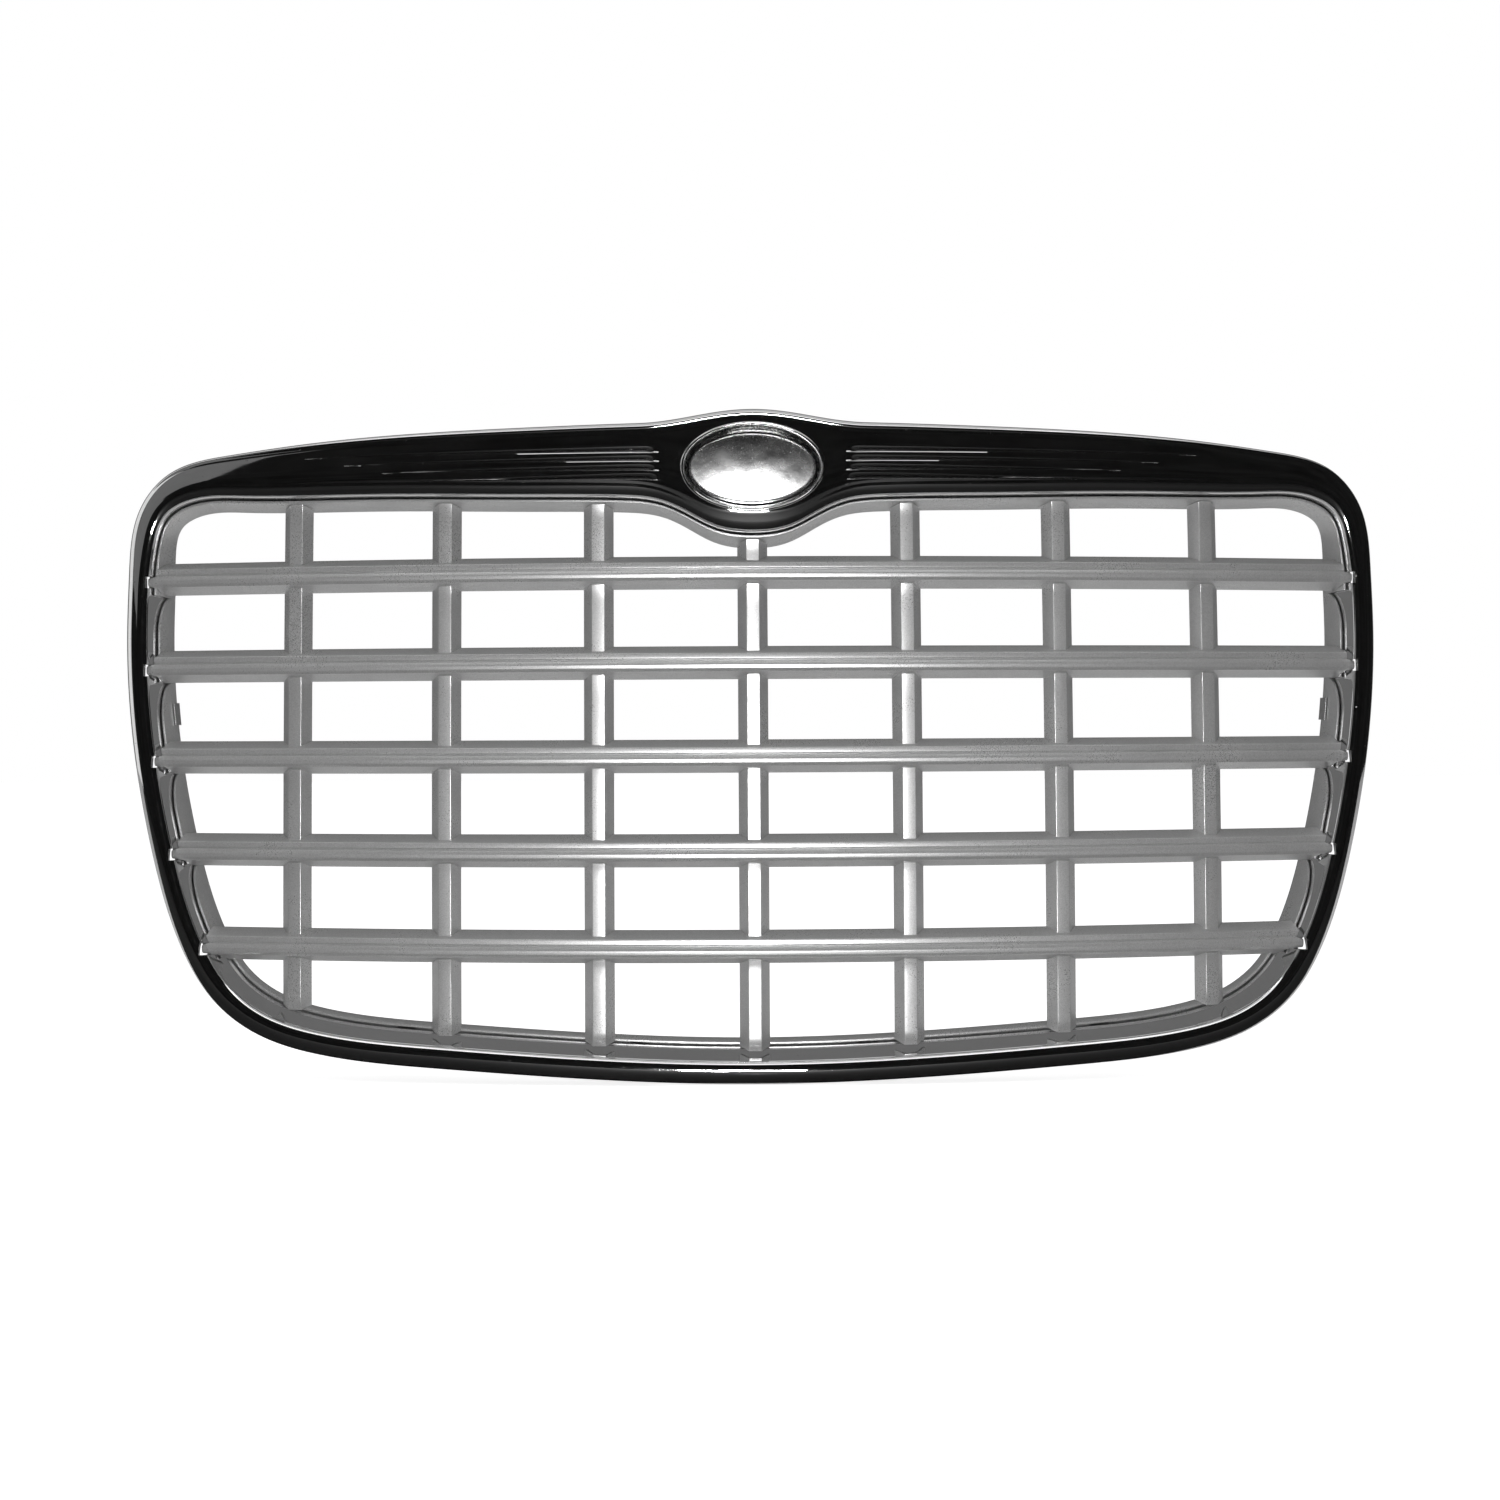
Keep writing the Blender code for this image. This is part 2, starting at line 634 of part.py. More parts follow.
def mullion(x):
    """A tapered channel, open at the rear, from the header's wall to the bottom one."""
    slope = (MULLION_REAR_HALF - MULLION_FRONT_HALF) / (MULLION_REAR - MULLION_FRONT)
    inside_half = MULLION_FRONT_HALF + (slope - 1) * BAR_WALL
    right = [
        (MULLION_FRONT + BAR_WALL, inside_half), (MULLION_REAR, MULLION_REAR_HALF - BAR_WALL),
        (MULLION_REAR, MULLION_REAR_HALF), (MULLION_FRONT, MULLION_FRONT_HALF),
    ]
    across = [abs(x) + dx for dx in (-MULLION_REAR_HALF, 0, MULLION_REAR_HALF)]

    def ends_at(t):
        low = max(wall_z(at, t, -1, INSERT_FACE + GAP) for at in across)
        high = min(wall_z(at, t, 1, INSERT_FACE + GAP) for at in across)
        return low, high

    return bar_along_z(x, right + [(t, -dx) for t, dx in reversed(right)], ends_at)


def slot(x):
    """The space that a mullion takes out of the louvres, with clearance all round it."""
    slope = (MULLION_REAR_HALF - MULLION_FRONT_HALF) / (MULLION_REAR - MULLION_FRONT)
    rear_half = MULLION_REAR_HALF + SLOT_RUN_OUT * slope + SLOT_CLEAR
    right = [
        (MULLION_REAR + SLOT_RUN_OUT, rear_half),
        (MULLION_FRONT - SLOT_CLEAR, MULLION_FRONT_HALF + SLOT_CLEAR),
    ]
    ends = (LOUVRE_Z[-1] - 2 * LOUVRE_BACK_HALF, LOUVRE_Z[0] + 2 * LOUVRE_BACK_HALF)
    return bar_along_z(x, right + [(t, -dx) for t, dx in reversed(right)], lambda t: ends)


def build_lattice(datum, silver):
    xs = [MULLION_PITCH * i for i in range(-MULLIONS_A_SIDE, MULLIONS_A_SIDE + 1)]
    slots = add_object(datum, "mullion_slots", joined(slot(x) for x in xs))
    for number, z in enumerate(LOUVRE_Z, 1):
        louvre = add_object(datum, f"louvre_{number}", louvre_bar(z), silver)
        combine(louvre, "UNION", add_object(datum, f"louvre_{number}_noses", noses(z)))
        combine(louvre, "DIFFERENCE", slots)
    for number, x in enumerate(xs, 1):
        add_object(datum, f"mullion_{number}", mullion(x), silver)


# ------------------------------------------------------------------ medallion and fasteners


def build_medallion(datum, chrome, steel):
    bezel = turned([(-inset, t) for inset, t in BEZEL_SECTION], OVAL_SIDES, RING_HALF, hollow=True)
    add_object(datum, "medallion_bezel", on_medallion(bezel), chrome)
    blank = turned([(-inset, t) for inset, t in DISC_PROFILE], OVAL_SIDES, DISC_HALF)
    disc = add_object(datum, "medallion_disc", on_medallion(blank), chrome)
    stud = turned([(STUD_R, DISH_FLOOR - 2), (STUD_R, STUD_END)])
    studs = joined(on_medallion(stud, side * STUD_X) for side in (-1, 1))
    combine(disc, "UNION", add_object(datum, "disc_studs", studs))
    front = DISH_BACK + GAP
    bore = STUD_R + 0.3
    nut = turned([(bore, front), (6, front), (6, front + 1), (bore, front + 2.2)], 14, hollow=True)
    for side, word in ((-1, "left"), (1, "right")):
        name = f"medallion_push_nut_{word}"
        add_object(datum, name, on_medallion(nut, side * STUD_X), steel)


def build_screws(datum, steel):
    """Round-headed screws, all sharing one mesh, drawn from under the head."""
    profile = [
        (SHANK_R * 0.4, -SHANK_LENGTH), (SHANK_R, 2 - SHANK_LENGTH), (SHANK_R, 0), (HEAD_R, 0),
        (HEAD_R * 0.9, HEAD_HEIGHT * 0.64), (HEAD_R * 0.5, HEAD_HEIGHT),
    ]
    mesh = None
    for number, (x, end) in enumerate(both_sides(SCREW_PLACES), 1):
        z, depth = screw_spot(x, end)
        under_head = depth + EAR_GAP + EAR_THICK + SLOT_CLEAR
        place = (x, skin(x, z) + under_head, z)
        if mesh:
            link_at(f"insert_screw_{number}", mesh, datum, place)
        else:
            mesh = add_object(datum, f"insert_screw_{number}", turned(profile, 10), steel, place).data


def spring_nut(end):
    """A strip folded over a tab's free edge, drawn from the tab's root at the outline."""
    front, rear = TAB_FRONT - GAP, TAB_FRONT + TAB_THICK + GAP
    fold = -end * (TAB_HEIGHT[end] + GAP)
    back = fold - end * NUT_THICK
    leg_end = -end * (TAB_HEIGHT[end] - NUT_LEG[end])
    outline = [
        (front - NUT_THICK, leg_end), (front - NUT_THICK, back), (rear + NUT_THICK, back),
        (rear + NUT_THICK, leg_end), (rear, leg_end), (rear, fold), (front, fold), (front, leg_end),
    ]
    return bridge([[(x, t, z) for t, z in outline] for x in (-NUT_HALF, NUT_HALF)])


def build_spring_nuts(datum, steel):
    for number, (x, end) in enumerate(both_sides(TAB_PLACES), 1):
        place = seat(x, outline_z(x, end))
        nut = add_object(datum, f"spring_nut_{number}", spring_nut(end), steel, place)
        front, rear = TAB_FRONT - 2 * CUT, TAB_FRONT + TAB_THICK + 2 * CUT
        cutter = moved(hole(NUT_HOLE_R, front, rear), (0, 0, -end * TAB_HOLE_Z[end]))
        name = f"spring_nut_hole_{number}"
        combine(nut, "DIFFERENCE", add_object(datum, name, cutter, place=place))


def build_clips(datum, steel):
    """A clip each side, over the rear edges of the surround's wall and the insert's wall."""
    rear = SIDE_WALL_DEPTH + EAR_GAP + EAR_THICK / 2
    inside, outside = INSERT_FACE + GAP, -SHELL - SLANT_GAP
    leg_end = rear - CLIP_LEG
    outline = [
        (inside, leg_end), (inside, rear + GAP), (outside, rear + GAP), (outside, leg_end),
        (outside - CLIP_THICK, leg_end), (outside - CLIP_THICK, rear + GAP + CLIP_THICK),
        (inside + CLIP_THICK, rear + GAP + CLIP_THICK), (inside + CLIP_THICK, leg_end),
    ]
    for side, word in ((-1, "left"), (1, "right")):
        rings = []
        for z in (CLIP_Z - CLIP_HALF, CLIP_Z + CLIP_HALF):
            rings.append([(side * wall_x(z, t, extra), t, z) for extra, t in outline])
        add_object(datum, f"side_clip_{word}", draped(bridge(rings)), steel)


def main():
    clear_scene()
    datum = add_datum()
    chrome = make_material("bright chrome", (0.86, 0.87, 0.88), 0.05, 1)
    silver = make_material("satin silver paint", (0.58, 0.59, 0.60), 0.35, 0.8)
    steel = make_material("zinc plated steel", (0.62, 0.62, 0.60), 0.4, 1)
    build_surround(datum, chrome)
    build_insert(datum, silver)
    build_lattice(datum, silver)
    build_medallion(datum, chrome, steel)
    build_screws(datum, steel)
    build_spring_nuts(datum, steel)
    build_clips(datum, steel)


main()
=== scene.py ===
"""Looks of the front grille: fine meshes, materials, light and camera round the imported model.

Shapes are drawn flat in millimetres, as in the design: x across, z up, and t straight back from
the skin, which is then swept back to the sides and leaned back to the top."""

import math

import bmesh
import bpy
import numpy as np
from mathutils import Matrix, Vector


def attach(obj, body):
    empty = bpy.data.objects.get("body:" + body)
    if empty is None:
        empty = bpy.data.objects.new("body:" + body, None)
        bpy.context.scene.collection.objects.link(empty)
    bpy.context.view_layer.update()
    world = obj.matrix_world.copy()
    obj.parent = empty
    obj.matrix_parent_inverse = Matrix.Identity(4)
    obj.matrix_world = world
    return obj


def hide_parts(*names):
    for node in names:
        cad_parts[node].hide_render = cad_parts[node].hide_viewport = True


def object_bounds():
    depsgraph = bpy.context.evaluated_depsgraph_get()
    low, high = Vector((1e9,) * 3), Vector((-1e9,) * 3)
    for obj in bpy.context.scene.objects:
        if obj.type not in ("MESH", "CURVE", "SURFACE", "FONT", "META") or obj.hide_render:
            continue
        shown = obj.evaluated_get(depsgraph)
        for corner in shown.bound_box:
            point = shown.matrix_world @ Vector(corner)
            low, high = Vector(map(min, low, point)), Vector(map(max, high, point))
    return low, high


MM = 0.001

# Driving sizes, the same as the design's
HALF_WIDTH = 419.3
TOP, BOTTOM = 218.5, -218.7
SIDE_SWEEP, TOP_LEAN, ORIGIN_DEPTH = 62.0, 24.0, 56.0
OUTER_KNOTS = [
    (0, 210.4), (150, 207.6), (290, 200.5), (350, 193.8), (392, 182), (412, 158),
    (418.6, 115), (HALF_WIDTH, 72), (413.6, -2), (400, -72), (377, -139), (357, -168.5),
    (326, -190.3), (286, -202), (208, -209.8), (100, -216), (0, BOTTOM),
]
CROWN_RISE, CROWN_HALF = 8.0, 75.0
HEADER_KNOTS = [
    (0, 136.7), (24, 140.2), (45.5, 151), (62, 157.6), (85, 160.2), (150, 161.4),
    (250, 163.2), (340, 164.3), (376, 162.2), (392.5, 152.5), (399.5, 133),
]
SIDE_KNOT_ZS = (105, 72, -2)
CORNER_END_Z = SIDE_KNOT_ZS[0]
HEADER_END_X = 340.0
BAND = 16.3
EDGE_DEPTH, FLANGE_DEPTH = 8.0, 28.0
WALL_DRAFT = 0.2
SIDE_WALL_DEPTH, HEADER_WALL_DEPTH, DEPTH_BLEND = 40.0, 31.0, 50.0
SHELL = 2.6
SIDE_BEAD, HEADER_BEAD = 2.4, 5.5

MULLION_PITCH, MULLIONS_A_SIDE = 100.8, 3
LOUVRE_Z = [111.8, 52.8, -8.2, -69.6, -131.8]
LOUVRE_FRONT, LOUVRE_BACK_HALF = 6.0, 11.0
MULLION_FRONT, MULLION_REAR = 14.0, 26.0
MULLION_FRONT_HALF, MULLION_REAR_HALF = 4.2, 10.0
BAR_WALL, INSERT_WALL = 1.8, 1.6
NOSE_REACH, NOSE_ROOT, NOTCH_CLEAR = 2.5, 8.0, 0.9
BAY_FRONT, TOP_BAY_FRONT, BOTTOM_STRIP = 19.0, 11.0, 5.0
SCALLOP_SHARE = 0.7
SCALLOP_STOP = 1.5  # from the deepest point of a scallop to the wall's rear edge
SCALLOP_ROWS = (-0.008, 0.008, 0.03, 0.06, 0.1, 0.15, 0.2, 0.27, 0.35)  # shares of a bay's height
GAP = 0.4
SLANT_GAP = GAP + 0.2
INSERT_FACE = SLANT_GAP + INSERT_WALL
CUT = 3.0  # how far a cutter reaches past a surface

# A stretch of mullion starts with a facet that leans out, and the lowest ends with one that leans back
FACET_LENGTH, FACET_OUT, FACET_BACK = 5.0, 0.6, 1.8
FACET_START, FACET_STEP = 7.9, 0.4  # from a louvre's centre down to a facet, and the step above it
SLOT_REACH, SLOT_TAIL, SLOT_CLEAR = 22.0, 8.0, 0.12  # cutters for the mullions' slots in the louvres

MEDALLION_Z = 179.3
RING_HALF, DISC_HALF = (47.4, 29.9), (41.3, 22.6)
DISH_INSET, DISH_RIM, DISH_FLOOR, DISH_BACK = 2.2, 0.6, 9.0, 12.0
DISH_MOUTH, DISH_CORNER = -8.0, 0.6
DOME_RISE, DISC_LEAN = 2.4, 0.045
STUD_X, STUD_R, STUD_END = 27.0, 1.8, 19.0
FLUTE_ROWS, FLUTE_START, FLUTE_TIP, FLUTE_SHORTEST = 4, 62.0, 296.0, 0.66
FLUTE_LOW, FLUTE_HIGH, FLUTE_RIDGE, FLUTE_TIP_WIDTH = -11.0, 19.0, 1.6, 0.8
FLUTE_DEPTH, FLUTE_RISE, FLUTE_FADE, FLUTE_HOLD = 2.3, 6.0, 12, 14

SCREW_PLACES = [(130, 1), (270, 1), (75, -1), (230, -1)]
SCREW_INSET = 9.0
POST_FRONT, POST_R, PILOT_R, PILOT_DEPTH = 2.4, 4.4, 2.0, 13.0
EAR_GAP, EAR_THICK, EAR_HALF, EAR_REACH, EAR_HOLE_CLEAR = 2.2, 2.2, 6.0, 5.0, 0.2
SHANK_R, SHANK_LENGTH, HEAD_R, HEAD_HEIGHT = 1.6, 12.0, 4.0, 2.2
TAB_PLACES = [(190, 1), (330, 1), (150, -1)]
TAB_HALF, TAB_THICK, TAB_FRONT, TAB_ROOT, TAB_HOLE_R = 11.0, 3.0, 24.0, 1.5, 3.0
TAB_HEIGHT, TAB_HOLE_Z, NUT_LEG = {1: 22.0, -1: 12.5}, {1: 14.0, -1: 7.6}, {1: 13.5, -1: 8.6}
NUT_HALF, NUT_THICK, NUT_HOLE_R = 5.5, 0.9, 2.4
CLIP_Z, CLIP_HALF, CLIP_LEG, CLIP_THICK = 21.0, 7.5, 8.0, 1.0
COLLAR = [(3.6, 0.5), (3.4, -0.6), (3.1, -1.5), (2.9, -1.8)]  # radius, and t from a spring nut's front
HEAD_CLEAR, RECESS_REACH, RECESS_HALF, RECESS_RANGE = 0.35, 2.2, 0.42, (1.1, 4.0)
THREAD_PITCH, THREAD_DEPTH, THREAD_END, POINT_SHARE, POINT_SLOPE = 1.3, 0.24, -0.6, 0.35, 0.32
PUSH_NUT_R, NUT_TEETH, TOOTH_CLEAR, TOOTH_LENGTH = 6.0, 6, 0.25, 0.9

# Fineness of the meshes
STATION_STEP = {"header": 2.4, "corner": 2.0, "side": 5.0, "bottom": 5.0}
CURVE_STEPS, SPAN_STEPS, ROUND_SIDES, OVAL_SIDES = 40, 30, 32, 160
LOUVRE_STEPS, MULLION_STEPS, SLOT_STEPS = 96, 40, 24
DOME_STEPS, PUSH_NUT_SIDES, SCREW_SIDES, THREAD_STEP = 26, 72, 28, 0.2
RIM_ROW_STEP, RIDGE_ROWS, MARGIN_ROWS = 6, 3, 7
BACK_CORNERS, CORNER_STEPS = 9, 4
CARD_STEPS = 16

# Studio, in metres and degrees
STUDIO_RADIUS, FLOOR_HALF = 3.2, 7.0
FLOOR_TONE, FLOOR_SEEN_GLOW, ROOM_LEVEL = 0.8, 0.8, 0.36
FLOOR_CLEAR, FLAG_LIFT = 0.0005, 0.002
CAMERA_PLACE, CAMERA_TURN = (-0.035, -1.5600, 0.0186), (90, 0.272, -0.379)
CAMERA_SHIFT, CAMERA_CLIP = (0.0232, -0.0233), (0.05, 60)
SENSOR_WIDTH, LENS = 36, 56.5
LAMPS = {  # place, target, size and power in watts
    "overhead_softbox": ((0, -0.3, 1.5), (0, 0, 0), (2.4, 1.0), 11.0),
    "front_softbox": ((0, -1.75, -0.06), (0, 0, -0.05), (0.34, 0.26), 11.0),
    "flash": ((-0.02, -1.6, 0.09), (0, 0, 0), (0.06, 0.04), 4.0),
    "floor_bounce": ((0, -0.8, -0.2), (0, 0, 0.14), (1.4, 0.2), 3.0),
}
UNMIRRORED_LAMPS = ("overhead_softbox", "floor_bounce")
CARD_PAINTS = {  # tone and glow
    "black_flag": (0.012, 0.0), "dim_card": (0.1, 0.1), "middling_card": (0.4, 0.38),
    "light_card": (0.5, 0.55), "white_card": (0.8, 1.0),
}
CARDS = [  # name, paint, bearings from the front, elevations, and how much nearer than the others
    ("front_flag", "black_flag", (-86, 100), (-5, 57), 0),
    ("right_flag", "black_flag", (100, 116), (-5, 40), 0),
    ("left_dim_card", "dim_card", (-84, -50), (10, 46), 0.1),
    ("left_light_card", "light_card", (-106, -89), (-12, 58), 0),
    ("ceiling_card", "middling_card", (-180, 180), (70, 90), 0),
    ("front_top_card", "white_card", (-90, 90), (59, 70), 0),
    ("rear_top_card", "middling_card", (90, 270), (48, 70), 0),
    ("rear_dim_card", "dim_card", (116, 252), (-5, 48), 0),
]
GROUND_FLAG_EDGE = [
    (-STUDIO_RADIUS, 0.10), (-0.3, 0.03), (0, -0.02), (0.3, -0.02), (0.5, 0.02), (STUDIO_RADIUS, 0.10),
]

# Sections as (t, z, corner radius) for the bars and (inset, t, corner radius) for the ring
LOUVRE_SECTION = [
    (19, 11, 0.5), (4.8, 6.6, 0.8), (2.7, 6.0, 1.0), (2.4, 2.6, 0.7), (3.6, 1.7, 0.5),
    (1.0, 0.7, 0.7), (0, -1.4, 2.0), (0.2, -4.0, 2.0), (1.8, -6.0, 1.2), (4.8, -6.4, 0.6),
    (19, -11, 0.5), (19, -9.2, 0.4), (5.4, -4.8, 0.8), (5.4, 4.8, 0.8), (19, 9.2, 0.4),
]
NOSE_SECTION = [
    (0.8, 0.4, 0.6), (0.3, -1.4, 1.5), (0.5, -3.9, 1.5), (1.9, -5.6, 0.8), (4.0, -5.6, 0.4),
    (4.0, 0.4, 0.4),
]
NOSE_RINGS = [(-NOSE_ROOT, 1), (0.9, 1), (1.7, 0.97), (2.2, 0.88), (NOSE_REACH, 0.7)]  # reach and scale
BEZEL_SECTION = [
    (0, -GAP, 0.15), (0.5, -2.9, 0.9), (1.4, -4.0, 0.7), (2.3, -3.4, 0.8), (3.3, 0.4, 2.0),
    (5.0, 7.0, 0.4), (4.1, 7.4, 0.3), (2.7, 2.0, 0.5), (2.7, -GAP, 0.2),
]
# A header groove as (share of its width, share of its depth)
GROOVE_SHAPE = [
    (0, 0), (0.08, 0.03), (0.24, 0.2), (0.45, 0.55), (0.62, 0.86), (0.72, 0.98), (0.78, 1.0),
    (0.82, 0.93), (0.87, 0.62), (0.93, 0.22), (0.97, 0.05),
]
# The surround's face: the depths of its rim and lip, the widths at which the header's shape is
# full, and the depth, half width and place of the soft lines at its bead and above its brow
RIM_DEPTH, LIP_DEPTH = 12.0, 8.6
BEAD_FULL_WIDTH, LINES_FULL_WIDTH = 50, 45
BEAD_LINE, BEAD_LINE_HALF = 0.9, 0.9
BROW_LINE, BROW_LINE_HALF, BROW_LINE_UP = 0.35, 1.0, 4


# ---------- curves and stations


def skin(x, z):
    return SIDE_SWEEP * (x / HALF_WIDTH) ** 2 + TOP_LEAN * ((z - BOTTOM) / (TOP - BOTTOM)) ** 2


def smooth_curve(knots, steps=CURVE_STEPS, first=(1, 0), last=(-1, 0)):
    """Dense points on the cubic spline through the knots, with these directions at its ends."""
    p = np.array(knots, float)
    h = np.linalg.norm(np.diff(p, axis=0), axis=1)
    slope = np.diff(p, axis=0) / h[:, None]
    count = len(p)
    a, b = np.zeros((count, count)), np.zeros((count, 2))
    a[0, :2] = 2 * h[0], h[0]
    a[-1, -2:] = h[-1], 2 * h[-1]
    b[0] = 6 * (slope[0] - first)
    b[-1] = 6 * (np.array(last) - slope[-1])
    for i in range(1, count - 1):
        a[i, i - 1 : i + 2] = h[i - 1], 2 * (h[i - 1] + h[i]), h[i]
        b[i] = 6 * (slope[i] - slope[i - 1])
    bend = np.linalg.solve(a, b)
    u = (np.arange(1, steps + 1) / steps)[None, :, None] * h[:, None, None]
    start = slope - h[:, None] * (2 * bend[:-1] + bend[1:]) / 6
    runs = p[:-1, None] + start[:, None] * u + bend[:-1, None] * u**2 / 2
    runs = runs + (bend[1:] - bend[:-1])[:, None] * u**3 / (6 * h[:, None, None])
    return np.concatenate([p[:1], runs.reshape(-1, 2)])


def inward(curve):
    along = np.gradient(curve, axis=0)
    along /= np.linalg.norm(along, axis=1)[:, None]
    return np.stack([along[:, 1], -along[:, 0]], axis=1)


def crown(x):
    return np.where(np.abs(x) < CROWN_HALF, CROWN_RISE * (1 + np.cos(np.pi * x / CROWN_HALF)) / 2, 0)


def reach_of(curve):
    return np.concatenate([[0], np.cumsum(np.linalg.norm(np.diff(curve, axis=0), axis=1))])


def at_reach(curve, reach):
    whole = reach_of(curve)
    return np.stack([np.interp(reach, whole, curve[:, axis]) for axis in (0, 1)], axis=1)


def on_side(curve, z):
    side = curve[curve[:, 0] > HALF_WIDTH / 2]
    return np.interp(z, side[::-1, 1], side[::-1, 0])


PLAIN_OUTER = smooth_curve(OUTER_KNOTS)
PLAIN_INNER = PLAIN_OUTER + BAND * inward(PLAIN_OUTER)
OUTER = PLAIN_OUTER.copy()
OUTER[:, 1] += np.where(OUTER[:, 1] > 0, crown(OUTER[:, 0]), 0)
CORNER_INDEX = int(np.nonzero(PLAIN_OUTER[:, 1] >= CORNER_END_Z)[0][-1])


def inner_curve():
    """The opening's edge: the header's lower edge, then the band's inner edge."""
    tail = [(on_side(PLAIN_INNER, z), z) for z in SIDE_KNOT_ZS]
    header = smooth_curve(HEADER_KNOTS + tail + [tuple(PLAIN_INNER[-1])])
    header = header[: int(np.nonzero(header[:, 1] > PLAIN_INNER[CORNER_INDEX, 1])[0][-1]) + 1]
    return np.concatenate([header, PLAIN_INNER[CORNER_INDEX:]]), len(header)


INNER, HEADER_POINTS = inner_curve()


def partner_reach():
    """For each millimetre along the outer outline, how far along the inner one its partner is."""
    outer, inner = reach_of(OUTER), reach_of(INNER)
    matched = []
    for x in np.arange(0, HEADER_END_X + 1, 10):
        i, j = int(np.argmax(OUTER[:, 0] >= x)), int(np.argmax(INNER[:, 0] >= x))
        matched.append((outer[i], inner[j]))
    for index in range(CORNER_INDEX, len(OUTER), 4):
        matched.append((outer[index], inner[HEADER_POINTS + index - CORNER_INDEX]))
    matched.append((outer[-1], inner[-1]))
    matched = np.array(matched)
    every = np.arange(0, math.floor(outer[-1]) + 1.0)
    partner = np.interp(every, matched[:, 0], matched[:, 1])
    half, spread = 45, 15
    kernel = np.exp(-0.5 * (np.arange(-half, half + 1) / spread) ** 2)
    before = 2 * partner[0] - partner[half:0:-1]
    after = 2 * partner[-1] - partner[-2 : -half - 2 : -1]
    padded = np.concatenate([before, partner, after])
    return every, np.convolve(padded, kernel / kernel.sum(), mode="valid")


EVERY_MM, PARTNER = partner_reach()
OUTER_REACH = reach_of(OUTER)


def reach_at_z(z):
    side = np.nonzero(OUTER[:, 0] > HALF_WIDTH / 2)[0]
    return float(np.interp(z, OUTER[side][::-1, 1], OUTER_REACH[side][::-1]))


def stations(extra=()):
    """Pairs of an outer and an inner point round the right half, from top centre to bottom centre."""
    ends = {
        "header": OUTER_REACH[int(np.argmax(OUTER[:, 0] >= HEADER_END_X))],
        "corner": reach_at_z(CORNER_END_Z),
        "side": reach_at_z(LOUVRE_Z[-1] - LOUVRE_BACK_HALF),
        "bottom": OUTER_REACH[-1],
    }
    places, start = [[0.0]], 0.0
    for part, end in ends.items():
        count = max(2, round((end - start) / STATION_STEP[part]))
        places.append(np.linspace(start, end, count + 1)[1:])
        start = end
    places = np.concatenate(places)
    if len(extra):
        apart = np.min(np.abs(places[:, None] - np.array(extra)[None]), axis=1) > 0.5
        apart[[0, -1]] = True
        places = np.sort(np.concatenate([places[apart], extra]))
    inner = at_reach(INNER, np.interp(places, EVERY_MM, PARTNER))
    outer = at_reach(OUTER, places)
    for curve in (outer, inner):
        curve[[0, -1], 0] = 0
    return list(zip(outer, inner))


HALF_RAIL = stations()


def station_width(pair):
    return float(np.linalg.norm(pair[1] - pair[0]))


def inset_point(pair, distance):
    outer, inner = pair
    return outer + (inner - outer) / station_width(pair) * distance


def wall_depth(inner):
    share = np.clip((inner[1] - CORNER_END_Z) / DEPTH_BLEND, 0, 1)
    return SIDE_WALL_DEPTH + (HEADER_WALL_DEPTH - SIDE_WALL_DEPTH) * share


def wall_inset(pair, t, extra=0.0):
    return station_width(pair) + WALL_DRAFT * (t - EDGE_DEPTH) + extra


def wall_line(t, extra):
    return np.array([inset_point(pair, wall_inset(pair, t, extra)) for pair in HALF_RAIL])


def wall_x(z, t, extra=0.0):
    """Half width of the opening at height z and depth t."""
    line = wall_line(t, extra)
    side = line[np.argmax(line[:, 1]) :]
    return float(np.interp(z, side[::-1, 1], side[::-1, 0]))


def wall_z(x, t, end, extra=0.0):
    """Height of the opening's top (end 1) or bottom (end -1) at x and depth t."""
    line = wall_line(t, extra)
    split = int(np.argmax(line[:, 0]))
    run = line[:split] if end > 0 else line[:split:-1]
    run = run[run[:, 0] < HEADER_END_X + 10]
    return float(np.interp(abs(x), run[:, 0], run[:, 1]))


def outline_z(x, end):
    run = OUTER[OUTER[:, 1] * end > 0]
    run = run[np.argsort(run[:, 0])]
    return float(np.interp(abs(x), run[:, 0], run[:, 1]))


def both_sides(places):
    return [(side * x, end) for x, end in places for side in (-1, 1)]


# ---------- shapes: (points, faces)


def filleted(points, radii, closed, steps=CORNER_STEPS):
    """A polyline with each corner rounded to its radius, or less where an edge is short."""
    p = np.array(points, float)
    count = len(p)
    result = [] if closed else [p[0]]
    for i in range(count) if closed else range(1, count - 1):
        before, corner, after = p[i - 1], p[i], p[(i + 1) % count]
        a, b = before - corner, after - corner
        la, lb = np.linalg.norm(a), np.linalg.norm(b)
        half = math.acos(float(np.clip(a @ b / (la * lb), -1, 1))) / 2
        back = min(radii[i] / max(math.tan(half), 1e-6), 0.45 * la, 0.45 * lb)
        start, end = corner + a / la * back, corner + b / lb * back
        for k in range(steps + 1):
            u = k / steps
            result.append(start * (1 - u) ** 2 + corner * 2 * u * (1 - u) + end * u**2)
    if not closed:
        result.append(p[-1])
    return [tuple(spot) for spot in result]


def fillet_section(section, steps=CORNER_STEPS):
    return filleted([(a, b) for a, b, _ in section], [r for _, _, r in section], True, steps)


def bridge(rings, closed=False):
    size, count = len(rings[0]), len(rings)
    faces = []
    for i in range(count if closed else count - 1):
        a, b = i * size, (i + 1) % count * size
        for j in range(size):
            k = (j + 1) % size
            faces.append((a + j, a + k, b + k, b + j))
    if not closed:
        faces += [tuple(range(size)), tuple(range((count - 1) * size, count * size))]
    return [tuple(point) for ring in rings for point in ring], faces


